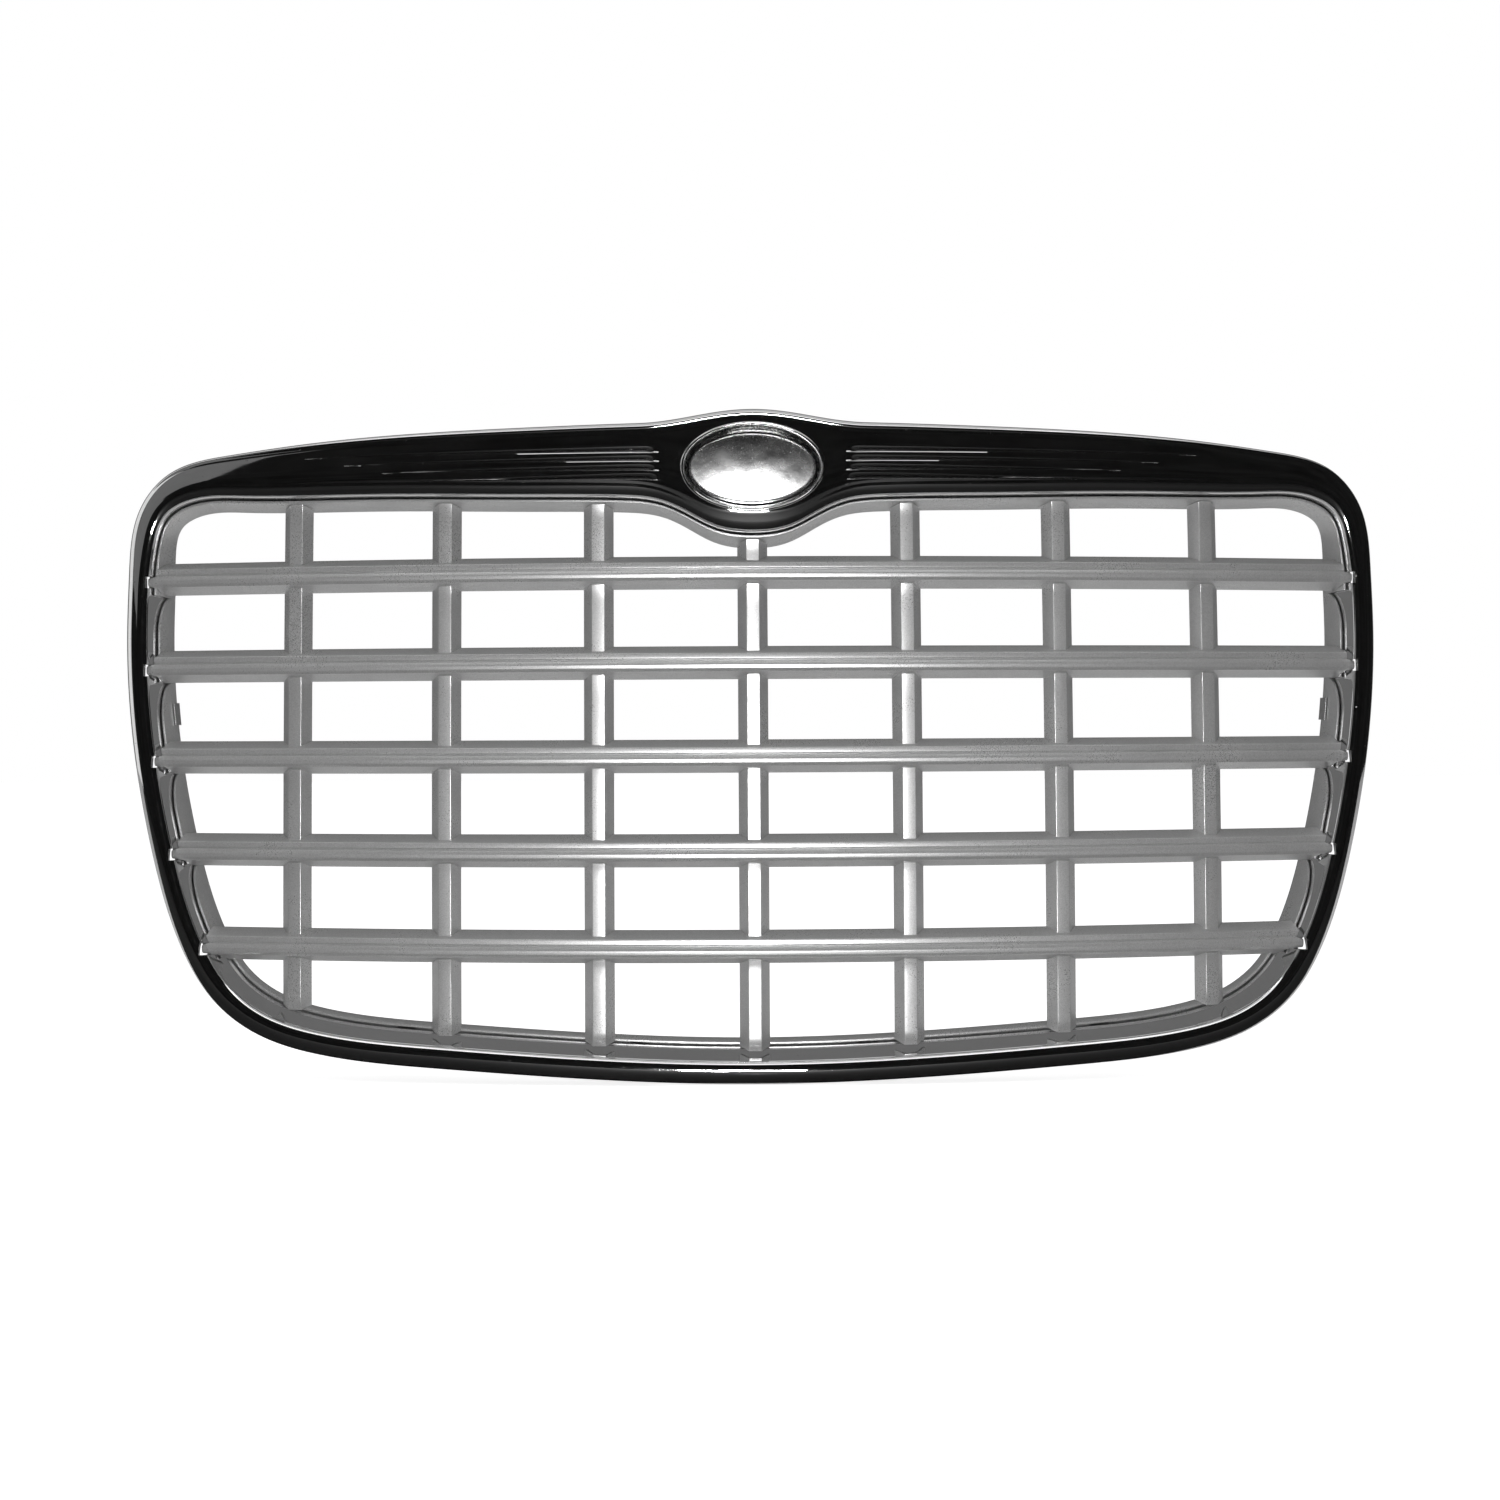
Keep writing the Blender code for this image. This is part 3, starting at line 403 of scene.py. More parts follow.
def joined(shapes):
    points, faces = [], []
    for more_points, more_faces in shapes:
        start = len(points)
        points += more_points
        faces += [tuple(start + i for i in face) for face in more_faces]
    return points, faces


def moved(shape, place):
    points, faces = shape
    return [tuple(a + b for a, b in zip(point, place)) for point in points], faces


def draped(shape):
    points, faces = shape
    return [(x, t + skin(x, z), z) for x, t, z in points], faces


def seat(x, z):
    return x, skin(x, z), z


def on_medallion(shape, x=0.0):
    return draped(moved(shape, (x, 0, MEDALLION_Z)))


def block(x_range, t_range, z_range, radius=0.0):
    """A block, with its edges along x rounded."""
    (t0, t1), (z0, z1) = t_range, z_range
    outline = [(t0, z0), (t1, z0), (t1, z1), (t0, z1)]
    if radius:
        outline = filleted(outline, [radius] * 4, True, 3)
    return bridge([[(x, t, z) for t, z in outline] for x in x_range])


def turns(sides):
    return [2 * math.pi * (i + 0.5) / sides for i in range(sides)]


def turned(profile, sides=ROUND_SIDES, half=(0, 0), hollow=False):
    """A turned shape, or an oval one where half is added to the radii across and up."""
    rings = []
    for radius, t in profile:
        across, up = half[0] + radius, half[1] + radius
        rings.append([(across * math.cos(turn), t, up * math.sin(turn)) for turn in turns(sides)])
    return bridge(rings, closed=hollow)


def hole(radius, front, rear):
    return turned([(radius, front), (radius, rear)])


def mirrored_ring(half, section):
    """A ring round the opening, from its right half's stations and its section at each."""
    rings = []
    for pair in half:
        spots = [(inset_point(pair, inset), t) for inset, t in section(pair)]
        rings.append([(spot[0], t, spot[1]) for spot, t in spots])
    rings += [[(-x, t, z) for x, t, z in ring] for ring in rings[-2:0:-1]]
    return draped(bridge(rings, closed=True))


# ---------- making pieces


def add_object(name, data):
    item = bpy.data.objects.new(name, data)
    bpy.context.scene.collection.objects.link(item)
    return item


def raw_object(name, shape, materials, indices=None):
    """An object from a shape in millimetres, with each face's material index where given."""
    points, faces = shape
    mesh = bpy.data.meshes.new(name)
    mesh.from_pydata([(x * MM, (t - ORIGIN_DEPTH) * MM, z * MM) for x, t, z in points], [], faces)
    for material in materials:
        mesh.materials.append(material)
    if indices is not None:
        mesh.polygons.foreach_set("material_index", indices)
    work = bmesh.new()
    work.from_mesh(mesh)
    bmesh.ops.recalc_face_normals(work, faces=work.faces)
    work.to_mesh(mesh)
    work.free()
    return add_object(name, mesh)


def apply_boolean(item, operation, shape, material_index=0):
    """Cuts the shape from the item or adds it, and keeps the result as the item's mesh."""
    indices = [material_index] * len(shape[1])
    other = raw_object("helper", shape, list(item.data.materials), indices)
    modifier = item.modifiers.new("Boolean", "BOOLEAN")
    modifier.operation = operation
    modifier.solver = "MANIFOLD"
    modifier.object = other
    graph = bpy.context.evaluated_depsgraph_get()
    result = bpy.data.meshes.new_from_object(item.evaluated_get(graph))
    if not len(result.polygons):
        raise RuntimeError(f"the Boolean emptied {item.name}")
    item.modifiers.clear()
    old, item.data = item.data, result
    bpy.data.meshes.remove(old)
    bpy.data.meshes.remove(other.data)


def finish_piece(item, nodes, sharp=35):
    """Keeps the piece inside the CAD's box, shades it and hides the CAD nodes it stands for."""
    item.data.name = item.name
    low, high = (np.array(corner) - item.location for corner in CAD_BOX)
    for vertex in item.data.vertices:
        vertex.co = np.clip(vertex.co, low, high)
    item.data.shade_smooth()
    item.data.set_sharp_from_angle(angle=math.radians(sharp))
    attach(item, "root")
    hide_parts(*nodes)


# ---------- materials


class Nodes:
    """Shorthand for building one material's node tree."""

    def __init__(self, name):
        self.material = bpy.data.materials.new(name)
        self.material.use_nodes = True
        self.tree = self.material.node_tree
        self.shader = self.tree.nodes["Principled BSDF"]
        self.place = self.add("ShaderNodeTexCoord").outputs["Object"]

    def feed(self, socket, value):
        """Links the socket to another one, or sets its value."""
        if isinstance(value, bpy.types.NodeSocket):
            self.tree.links.new(value, socket)
        else:
            socket.default_value = value

    def add(self, kind, inputs=None, **settings):
        node = self.tree.nodes.new(kind)
        for key, value in settings.items():
            setattr(node, key, value)
        for key, value in (inputs or {}).items():
            self.feed(node.inputs[key], value)
        return node

    def noise(self, scale, detail, roughness=0.5, stretch=(1, 1, 1)):
        place = self.add("ShaderNodeMapping", {"Scale": stretch, "Vector": self.place})
        inputs = {"Scale": scale, "Detail": detail, "Roughness": roughness, "Vector": place.outputs[0]}
        return self.add("ShaderNodeTexNoise", inputs).outputs["Fac"]

    def ramp(self, value, low, high, out_low, out_high):
        """value from low to high becomes out_low to out_high, held beyond them."""
        inputs = {
            "Value": value, "From Min": low, "From Max": high, "To Min": out_low, "To Max": out_high,
        }
        return self.add("ShaderNodeMapRange", inputs).outputs["Result"]

    def maths(self, operation, a, b):
        return self.add("ShaderNodeMath", {0: a, 1: b}, operation=operation).outputs[0]

    def edges(self, low, high):
        """1 on convex edges and 0 on open faces."""
        node = self.add("ShaderNodeNewGeometry")
        return self.ramp(node.outputs["Pointiness"], low, high, 0, 1)

    def bump(self, height, strength, distance, under=None):
        inputs = {"Height": height, "Strength": strength, "Distance": distance}
        if under is not None:
            inputs["Normal"] = under
        return self.add("ShaderNodeBump", inputs).outputs["Normal"]

    def finish(self, tone, roughness, metallic, normal=None):
        grey = self.add("ShaderNodeCombineColor", {0: tone, 1: tone, 2: tone}).outputs["Color"]
        inputs = {"Base Color": grey, "Roughness": roughness, "Metallic": metallic}
        if normal is not None:
            inputs["Normal"] = normal
        for key, value in inputs.items():
            self.feed(self.shader.inputs[key], value)
        return self.material


def chrome_material():
    """Mirror plating: a slow ripple, faint wipe marks, fine scratches and a few dull specks."""
    n = Nodes("bright_chrome")
    wipes = n.noise(26, 5, 0.6, (1, 1, 3.5))
    scratches = n.noise(900, 2, 0.7, (0.05, 1, 1))
    specks = n.ramp(n.noise(420, 2), 0.70, 0.78, 0, 1)
    rough = n.ramp(wipes, 0.45, 0.75, 0.03, 0.08)
    rough = n.maths("ADD", rough, n.ramp(scratches, 0.6, 0.8, 0, 0.05))
    rough = n.maths("ADD", rough, n.maths("MULTIPLY", specks, 0.2))
    color = n.ramp(wipes, 0.35, 0.8, 0.86, 0.81)
    color = n.maths("SUBTRACT", color, n.maths("MULTIPLY", specks, 0.12))
    ripple = n.bump(n.noise(38, 1), 0.12, 0.0004)
    return n.finish(color, rough, 1.0, n.bump(scratches, 0.02, 0.00002, ripple))


def disc_material():
    """Satin chrome for the blank disc: hazy plating with cloudy wiped patches and fine dust."""
    n = Nodes("satin_chrome")
    clouds = n.noise(70, 5, 0.6, (1, 1, 1.6))
    dust = n.ramp(n.noise(700, 2), 0.68, 0.76, 0, 1)
    rough = n.ramp(clouds, 0.35, 0.7, 0.21, 0.31)
    rough = n.maths("ADD", rough, n.maths("MULTIPLY", dust, 0.2))
    color = n.ramp(clouds, 0.35, 0.7, 0.88, 0.76)
    return n.finish(color, rough, 1.0, n.bump(clouds, 0.15, 0.0008))


def plated_back_material():
    """The hidden side of the moulding: thin, dull plating over the mould's grain."""
    n = Nodes("plated_back")
    flow = n.noise(14, 4, 0.6, (1, 1, 2))
    grain = n.noise(1500, 2)
    color = n.ramp(flow, 0.3, 0.75, 0.55, 0.40)
    rough = n.ramp(flow, 0.3, 0.75, 0.22, 0.42)
    return n.finish(color, rough, 0.9, n.bump(grain, 0.15, 0.0001, n.bump(flow, 0.2, 0.0006)))


def satin_material():
    """Metallic silver paint: flakes that sparkle, cloudy thickness, and a painted highlight that
    lightens convex edges.
    """
    n = Nodes("satin_silver_paint")
    cells = n.add("ShaderNodeTexVoronoi", {"Scale": 2600, "Vector": n.place})
    flakes = n.add("ShaderNodeSeparateColor", {"Color": cells.outputs["Color"]})
    cloud = n.noise(18, 4, 0.55)
    grain = n.noise(1900, 2)
    color = n.ramp(cloud, 0.3, 0.7, 0.50, 0.56)
    color = n.maths("ADD", color, n.ramp(flakes.outputs["Red"], 0, 1, -0.07, 0.07))
    # painted highlight: convex edges, found by pointiness, are painted lighter
    color = n.maths("ADD", color, n.maths("MULTIPLY", n.edges(0.53, 0.62), 0.12))
    rough = n.ramp(cloud, 0.3, 0.7, 0.36, 0.30)
    rough = n.maths("ADD", rough, n.ramp(flakes.outputs["Green"], 0, 1, -0.05, 0.05))
    return n.finish(color, rough, 0.68, n.bump(grain, 0.22, 0.00012))


def steel_material():
    """Zinc-plated steel: a soft cloudy passivation over fine rolling marks."""
    n = Nodes("zinc_plated_steel")
    cloud = n.noise(240, 4, 0.6)
    marks = n.noise(1600, 2, 0.6, (0.15, 1, 1))
    color = n.ramp(cloud, 0.3, 0.7, 0.50, 0.66)
    rough = n.ramp(cloud, 0.3, 0.7, 0.40, 0.26)
    rough = n.maths("ADD", rough, n.ramp(marks, 0.4, 0.7, 0, 0.08))
    return n.finish(color, rough, 1.0, n.bump(marks, 0.25, 0.00006))


# ---------- surround


def screw_spot(x, end):
    """Height of a screw's centre at x, and the depth of the wall beside it."""
    edge = wall_z(x, EDGE_DEPTH, end)
    if end > 0:
        return edge + SCREW_INSET, HEADER_WALL_DEPTH
    return edge - BAND + SCREW_INSET, SIDE_WALL_DEPTH


def groove_edges(x):
    """Upper and lower edge of each groove at x, from the highest groove down, and its strength."""
    low, high = MEDALLION_Z + FLUTE_LOW, MEDALLION_Z + FLUTE_HIGH
    pitch = (high - low) / FLUTE_ROWS
    lengths = (FLUTE_TIP - FLUTE_START) * np.linspace(FLUTE_SHORTEST, 1, FLUTE_ROWS)
    for row in range(FLUTE_ROWS - 1, -1, -1):
        share = float(np.clip((x - FLUTE_START) / lengths[row], 0, 1))
        bottom = low + row * pitch
        width = (pitch - FLUTE_RIDGE) * (1 - share) + FLUTE_TIP_WIDTH * share
        rise = float(np.clip((x - FLUTE_START) / FLUTE_RISE, 0, 1))
        fade = float(np.clip((1 - share) * FLUTE_FADE, 0, 1))
        strength = rise * rise * (3 - 2 * rise) * fade * (width / (pitch - FLUTE_RIDGE)) ** 0.7
        yield bottom + width, bottom, strength


def face_rows(pair, start, end):
    """(inset, added depth) across the face, with rows along each groove's edges."""
    outer = pair[0]
    x = float(np.clip(outer[0], FLUTE_START, FLUTE_TIP + FLUTE_HOLD))
    top, low = outline_z(x, 1), INNER[int(np.argmax(INNER[:, 0] >= x)), 1]
    in_header = outer[1] > CORNER_END_Z and outer[0] < HEADER_END_X
    marks, strengths = [], []
    for upper, lower, strength in groove_edges(x):
        marks += [(top - upper) / (top - low), (top - lower) / (top - low)]
        strengths.append(strength if in_header and outer[0] > FLUTE_START else 0.0)
    width = station_width(pair)
    first, last = start / width, end / width
    marks = [first + (last - first) * np.clip(mark, 0.05, 0.95) for mark in marks]
    rows = [(first + (marks[0] - first) * k / MARGIN_ROWS, 0) for k in range(1, MARGIN_ROWS)]
    for groove in range(FLUTE_ROWS):
        upper, lower = marks[2 * groove], marks[2 * groove + 1]
        depth = FLUTE_DEPTH * strengths[groove]
        rows += [(upper + (lower - upper) * across, down * depth) for across, down in GROOVE_SHAPE]
        after, count = last, MARGIN_ROWS
        if groove < FLUTE_ROWS - 1:
            after, count = marks[2 * groove + 2], RIDGE_ROWS
        rows += [(lower + (after - lower) * k / count, 0) for k in range(count)]
    return [(share * width, added) for share, added in rows]


def soft_line(inset, centre, depth, half):
    """How far the face is pressed in by a soft line at the centre."""
    return depth * math.exp(-(((inset - centre) / half) ** 2))


def surround_rows(pair):
    """The section at a station: rim, face and lip as one smooth curve, then the wall and the back."""
    width = station_width(pair)
    depth = wall_depth(pair[1])
    rear = wall_inset(pair, depth)
    bead = float(np.interp(width, (BAND, BEAD_FULL_WIDTH), (SIDE_BEAD, HEADER_BEAD)))
    crest, brow = bead + (width - bead) * 0.35, width - 0.3 * BAND
    knots = [
        (0, RIM_DEPTH), (0.4, 6.6), (0.45 * bead, 4.2 - 0.2 * bead), (bead, 2.5), (crest, 0.5),
        (brow, 0.9), (width - 1.1, 3.9), (width, LIP_DEPTH),
    ]
    wall_way = np.array((WALL_DRAFT, 1)) / math.hypot(WALL_DRAFT, 1)
    dense = smooth_curve(knots, SPAN_STEPS, (0, -1), tuple(wall_way))
    start, end = 3 * SPAN_STEPS, 5 * SPAN_STEPS  # the bead's and the brow's places on the curve
    face = dense[start : end + 1]
    rows = [tuple(spot) for spot in dense[:start:RIM_ROW_STEP]]
    for inset, added in face_rows(pair, face[0, 0], face[-1, 0]):
        rows.append((inset, float(np.interp(inset, face[:, 0], face[:, 1])) + added))
    rows += [tuple(spot) for spot in dense[end::RIM_ROW_STEP]]
    full = float(np.interp(width, (BAND, LINES_FULL_WIDTH), (0, 1)))
    lines = ((bead, BEAD_LINE, BEAD_LINE_HALF), (brow - BROW_LINE_UP, BROW_LINE, BROW_LINE_HALF))
    for centre, deep, half in lines:
        rows = [(inset, t + soft_line(inset, centre, deep * full, half)) for inset, t in rows]
    back = [
        (width, LIP_DEPTH), (rear, depth), (rear - SHELL, depth), (width - 2.8, 9), (brow, 4.8),
        (crest, 4.0 + FLUTE_DEPTH / 2), (3.8, 6.8), (SHELL, 10.5), (SHELL + 0.4, FLANGE_DEPTH),
        (0.4, FLANGE_DEPTH), (0, RIM_DEPTH),
    ]
    radii = [0, 0.8, 0.8, 2.5, 3, 4, 2, 2, 0.7, 0.7, 0]
    return rows + filleted(back, radii, False)[1:-1]


def tab_plate(x, end):
    """A mounting tab, whose root follows the outline inside the flange."""
    front, rear = TAB_FRONT, TAB_FRONT + TAB_THICK
    tip = -end * TAB_HEIGHT[end]
    rings = []
    for dx in (-TAB_HALF, 0, TAB_HALF):
        root = outline_z(x + dx, end) - outline_z(x, end) - end * TAB_ROOT
        corners = [(front, tip), (rear, tip), (rear, root), (front, root)]
        rings.append([(dx, t, z) for t, z in filleted(corners, [0.5] * 4, True, 3)])
    return bridge(rings)


def posts_and_tabs():
    solid, holes = [], []
    for x, end in both_sides(SCREW_PLACES):
        z, depth = screw_spot(x, end)
        rear = depth + EAR_GAP - GAP
        profile = [
            (POST_R + 1.2, POST_FRONT + 1), (POST_R, POST_FRONT + 5),
            (POST_R - 0.2, rear - 0.5), (POST_R - 0.7, rear),
        ]
        solid.append(moved(turned(profile), seat(x, z)))
        holes.append(moved(hole(PILOT_R, rear - PILOT_DEPTH, rear + CUT), seat(x, z)))
    for x, end in both_sides(TAB_PLACES):
        place = seat(x, outline_z(x, end))
        cutter = hole(TAB_HOLE_R, TAB_FRONT - CUT, TAB_FRONT + TAB_THICK + CUT)
        solid.append(moved(tab_plate(x, end), place))
        holes.append(moved(moved(cutter, (0, 0, -end * TAB_HOLE_Z[end])), place))
    return solid, holes


def notches():
    heights = [z for _, z, _ in NOSE_SECTION]
    rear = LOUVRE_FRONT + max(t for t, _, _ in NOSE_SECTION) + NOTCH_CLEAR
    shapes = []
    for z in LOUVRE_Z:
        reach = wall_x(z, EDGE_DEPTH) + NOSE_REACH + NOTCH_CLEAR
        z_range = (z + min(heights) - NOTCH_CLEAR, z + max(heights) + NOTCH_CLEAR)
        for side in (-1, 1):
            x_range = (side * reach, side * (reach - BAND))
            shapes.append(draped(block(x_range, (-LOUVRE_FRONT, rear), z_range, 1.0)))
    return shapes


def build_surround(chrome, back):
    """The surround, bright from its rim to its wall's rear edge and dull behind."""
    shape = mirrored_ring(HALF_RAIL, surround_rows)
    size = len(surround_rows(HALF_RAIL[0]))
    rear_edge = size - (BACK_CORNERS - 1) * (CORNER_STEPS + 1)
    indices = [int(rear_edge <= i % size < size - 2) for i in range(len(shape[1]))]
    surround = raw_object("surround_shell_plated", shape, [chrome, back], indices)
    solid, holes = posts_and_tabs()
    boss = [(DISH_RIM, POST_FRONT + 2), (DISH_RIM, DISH_BACK - DISH_CORNER), (0, DISH_BACK)]
    dish = [
        (-DISH_INSET, DISH_MOUTH), (-DISH_INSET, DISH_FLOOR - DISH_CORNER),
        (-DISH_INSET - DISH_CORNER, DISH_FLOOR),
    ]
    stud_hole = hole(STUD_R + GAP, DISH_FLOOR - CUT, DISH_BACK + CUT)
    stud_holes = [on_medallion(stud_hole, side * STUD_X) for side in (-1, 1)]
    for shape in [on_medallion(turned(boss, OVAL_SIDES, RING_HALF))] + solid:
        apply_boolean(surround, "UNION", shape, 1)
    apply_boolean(surround, "DIFFERENCE", joined(holes), 1)
    apply_boolean(surround, "DIFFERENCE", on_medallion(turned(dish, OVAL_SIDES, RING_HALF)))
    apply_boolean(surround, "DIFFERENCE", joined(stud_holes + notches()), 1)
    finish_piece(surround, ["surround_shell"])


# ---------- insert


def bay_edges():
    """Top and bottom of each row of openings between two louvres."""
    for upper, lower in zip(LOUVRE_Z, LOUVRE_Z[1:]):
        yield upper - LOUVRE_BACK_HALF, lower + LOUVRE_BACK_HALF


def insert_front(inner):
    """Depth of the insert's front edge, with a scallop at the top of each bay."""
    z = inner[1]
    deep = wall_depth(inner) - SCALLOP_STOP
    if z > LOUVRE_Z[0] - LOUVRE_BACK_HALF:
        return TOP_BAY_FRONT
    if z < LOUVRE_Z[-1] - LOUVRE_BACK_HALF:
        return deep - BOTTOM_STRIP
    for bay_top, bay_bottom in bay_edges():
        if bay_bottom < z < bay_top:
            share = min(1, (bay_top - z) / (bay_top - bay_bottom) / SCALLOP_SHARE)
            return deep - (deep - BAY_FRONT) * math.sqrt(1 - (1 - share) ** 2)
    return BAY_FRONT


def insert_rows(pair):
    front = insert_front(pair[1])
    rear = wall_depth(pair[1]) + EAR_GAP + EAR_THICK / 2
    corners = ((front, SLANT_GAP), (front, INSERT_FACE), (rear, INSERT_FACE), (rear, SLANT_GAP))
    outline = filleted([(face, t) for t, face in corners], [0.5] * 4, True, 3)
    return [(wall_inset(pair, t, face), t) for face, t in outline]


def step_reaches():
    """Extra stations either side of each step and along each scallop."""
    reaches = []
    for bay_top, bay_bottom in bay_edges():
        height = bay_top - bay_bottom
        for share in SCALLOP_ROWS:
            reaches.append(reach_of_inner_z(bay_top - share * height))
    lowest = LOUVRE_Z[-1] - LOUVRE_BACK_HALF
    return sorted(reaches + [reach_of_inner_z(lowest + 0.2), reach_of_inner_z(lowest - 0.2)])


def reach_of_inner_z(z):
    """Where along the outer outline a station's inner point is at height z, on the side."""
    inner = at_reach(INNER, PARTNER)
    side = inner[:, 0] > HALF_WIDTH / 2
    side &= np.arange(len(inner)) > np.argmax(inner[:, 0] * (inner[:, 1] > CORNER_END_Z))
    return float(np.interp(z, inner[side][::-1, 1], EVERY_MM[side][::-1]))


def build_insert(silver):
    ring = mirrored_ring(stations(step_reaches()), insert_rows)
    insert = raw_object("insert_frame_painted", ring, [silver])
    ears, holes = [], []
    for x, end in both_sides(SCREW_PLACES):
        z, depth = screw_spot(x, end)
        front, rear = depth + EAR_GAP, depth + EAR_GAP + EAR_THICK
        root = wall_z(x, front, end, INSERT_FACE - INSERT_WALL / 2)
        z_range = sorted((end * EAR_REACH, root - z))
        ears.append(moved(block((-EAR_HALF, EAR_HALF), (front, rear), z_range, 0.5), seat(x, z)))
        holes.append(moved(hole(PILOT_R + EAR_HOLE_CLEAR, front - CUT, rear + CUT), seat(x, z)))
    apply_boolean(insert, "UNION", joined(ears))
    apply_boolean(insert, "DIFFERENCE", joined(holes))
    finish_piece(insert, ["insert_frame"])


def louvre_bar(z):
    """A louvre from wall to wall, with each point of its section as long as the opening lets it be."""
    spots = []
    for t, dz in fillet_section(LOUVRE_SECTION):
        depth = LOUVRE_FRONT + t
        clear = SLANT_GAP if depth <= EDGE_DEPTH else INSERT_FACE + GAP
        spots.append((wall_x(z + dz, max(depth, EDGE_DEPTH), clear), depth, z + dz))
    rings = []
    for i in range(LOUVRE_STEPS + 1):
        share = 2 * i / LOUVRE_STEPS - 1
        rings.append([(share * reach, t, height) for reach, t, height in spots])
    return draped(bridge(rings))


def nose(z, side):
    """A louvre's rounded end, which runs into the band's notch."""
    reach = wall_x(z, EDGE_DEPTH)
    section = np.array(fillet_section(NOSE_SECTION, 3))
    middle = section.mean(axis=0)
    rings = []
    for out, scale in NOSE_RINGS:
        ring = middle + (section - middle) * scale
        rings.append([(side * (reach + out), LOUVRE_FRONT + t, z + dz) for t, dz in ring])
    return draped(bridge(rings))


def mullion_profile(spread=0.0):
    """(t, dx) outline of a mullion, as a channel, or as a solid wedge grown by spread."""
    slope = (MULLION_REAR_HALF - MULLION_FRONT_HALF) / (MULLION_REAR - MULLION_FRONT)
    if spread:
        rear_half = MULLION_REAR_HALF + SLOT_TAIL * slope + spread
        front = (MULLION_FRONT - spread, MULLION_FRONT_HALF + spread)
        right = [(MULLION_REAR + SLOT_TAIL, rear_half), front]
        radii = [0.1, 0.5]
    else:
        inside_half = MULLION_FRONT_HALF + (slope - 1) * BAR_WALL
        right = [
            (MULLION_FRONT + BAR_WALL, inside_half), (MULLION_REAR, MULLION_REAR_HALF - BAR_WALL),
            (MULLION_REAR, MULLION_REAR_HALF), (MULLION_FRONT, MULLION_FRONT_HALF),
        ]
        radii = [0.6, 0.4, 0.4, 0.6]
    outline = right + [(t, -dx) for t, dx in reversed(right)]
    return filleted(outline, radii + radii[::-1], True)


def mullion_ends(x):
    """Bottom and top of a mullion at two depths, clear of the walls across its width."""
    across = [abs(x) + dx for dx in (-MULLION_REAR_HALF, 0, MULLION_REAR_HALF)]
    found = []
    for t in (MULLION_FRONT, MULLION_REAR):
        low = max(wall_z(at, t, -1, INSERT_FACE + GAP) for at in across)
        high = min(wall_z(at, t, 1, INSERT_FACE + GAP) for at in across)
        found.append((low, high))
    return found


def facet_depth(z, low, high):
    """How far a mullion's front is set back at height z, between its ends low and high."""
    if z - low < FACET_LENGTH:
        return FACET_BACK * (1 - (z - low) / FACET_LENGTH)
    for start in [high] + [centre - FACET_START for centre in LOUVRE_Z]:
        below = start - z
        if -FACET_STEP < below <= FACET_LENGTH:
            return -FACET_OUT * (1 - below / FACET_LENGTH if below > 0 else 1 + below / FACET_STEP)
    return 0.0


def mullion(x):
    """A tapered channel with a small sloping facet at each end and below each louvre."""
    (low_front, high_front), (low_rear, high_rear) = mullion_ends(x)
    steps = (FACET_LENGTH / 2, FACET_LENGTH)
    heights = [low_front + step for step in steps] + [high_front - step for step in steps]
    for centre in LOUVRE_Z:
        start = centre - FACET_START
        heights += [start + FACET_STEP, start] + [start - step for step in steps]
    plain = np.linspace(low_front, high_front, MULLION_STEPS)[1:-1]
    heights += [z for z in plain if min(abs(z - other) for other in heights) > 2]
    shares = [0.0] + sorted((z - low_front) / (high_front - low_front) for z in heights) + [1.0]
    rings = []
    for share in shares:
        ring = []
        for t, dx in mullion_profile():
            depth = (t - MULLION_FRONT) / (MULLION_REAR - MULLION_FRONT)
            low = low_front + (low_rear - low_front) * depth
            high = high_front + (high_rear - high_front) * depth
            z = low + (high - low) * share
            fades = max(0.0, 1 - 2 * depth)
            ring.append((x + dx, t + facet_depth(z, low_front, high_front) * fades, z))
        rings.append(ring)
    return draped(bridge(rings))


def slot(x):
    rings = []
    for z in np.linspace(LOUVRE_Z[-1] - SLOT_REACH, LOUVRE_Z[0] + SLOT_REACH, SLOT_STEPS):
        rings.append([(x + dx, t, z) for t, dx in mullion_profile(SLOT_CLEAR)])
    return draped(bridge(rings))


def build_lattice(silver):
    xs = [MULLION_PITCH * i for i in range(-MULLIONS_A_SIDE, MULLIONS_A_SIDE + 1)]
    slots = joined(slot(x) for x in xs)
    for number, z in enumerate(LOUVRE_Z, 1):
        louvre = raw_object(f"louvre_{number}_painted", louvre_bar(z), [silver])
        apply_boolean(louvre, "UNION", joined(nose(z, side) for side in (-1, 1)))
        apply_boolean(louvre, "DIFFERENCE", slots)
        finish_piece(louvre, [f"louvre_{number}"])
    for number, x in enumerate(xs, 1):
        bar = raw_object(f"mullion_{number}_painted", mullion(x), [silver])
        finish_piece(bar, [f"mullion_{number}"], 20)


# ---------- medallion and fasteners


def domed_blank():
    """The disc: a rolled rim and a shallow dome, as levels of (share of its size, depth)."""
    levels = [(1.0, DISH_FLOOR - GAP), (1.0, 5.9), (0.995, 5.4), (0.982, 5.0), (0.965, 4.8)]
    edge, middle = 0.95, 0.04
    shares = np.linspace(edge, middle, DOME_STEPS)
    levels += [(k, 4.75 - DOME_RISE * (1 - (k / edge) ** 2)) for k in shares]
    half_x, half_z = DISC_HALF
    rings = []
    for k, t in levels:
        flat = [(half_x * k * math.cos(a), half_z * k * math.sin(a)) for a in turns(OVAL_SIDES)]
        lean = DISC_LEAN if t < DISH_FLOOR - GAP else 0
        rings.append([(x, t - lean * z, z) for x, z in flat])
    return bridge(rings)


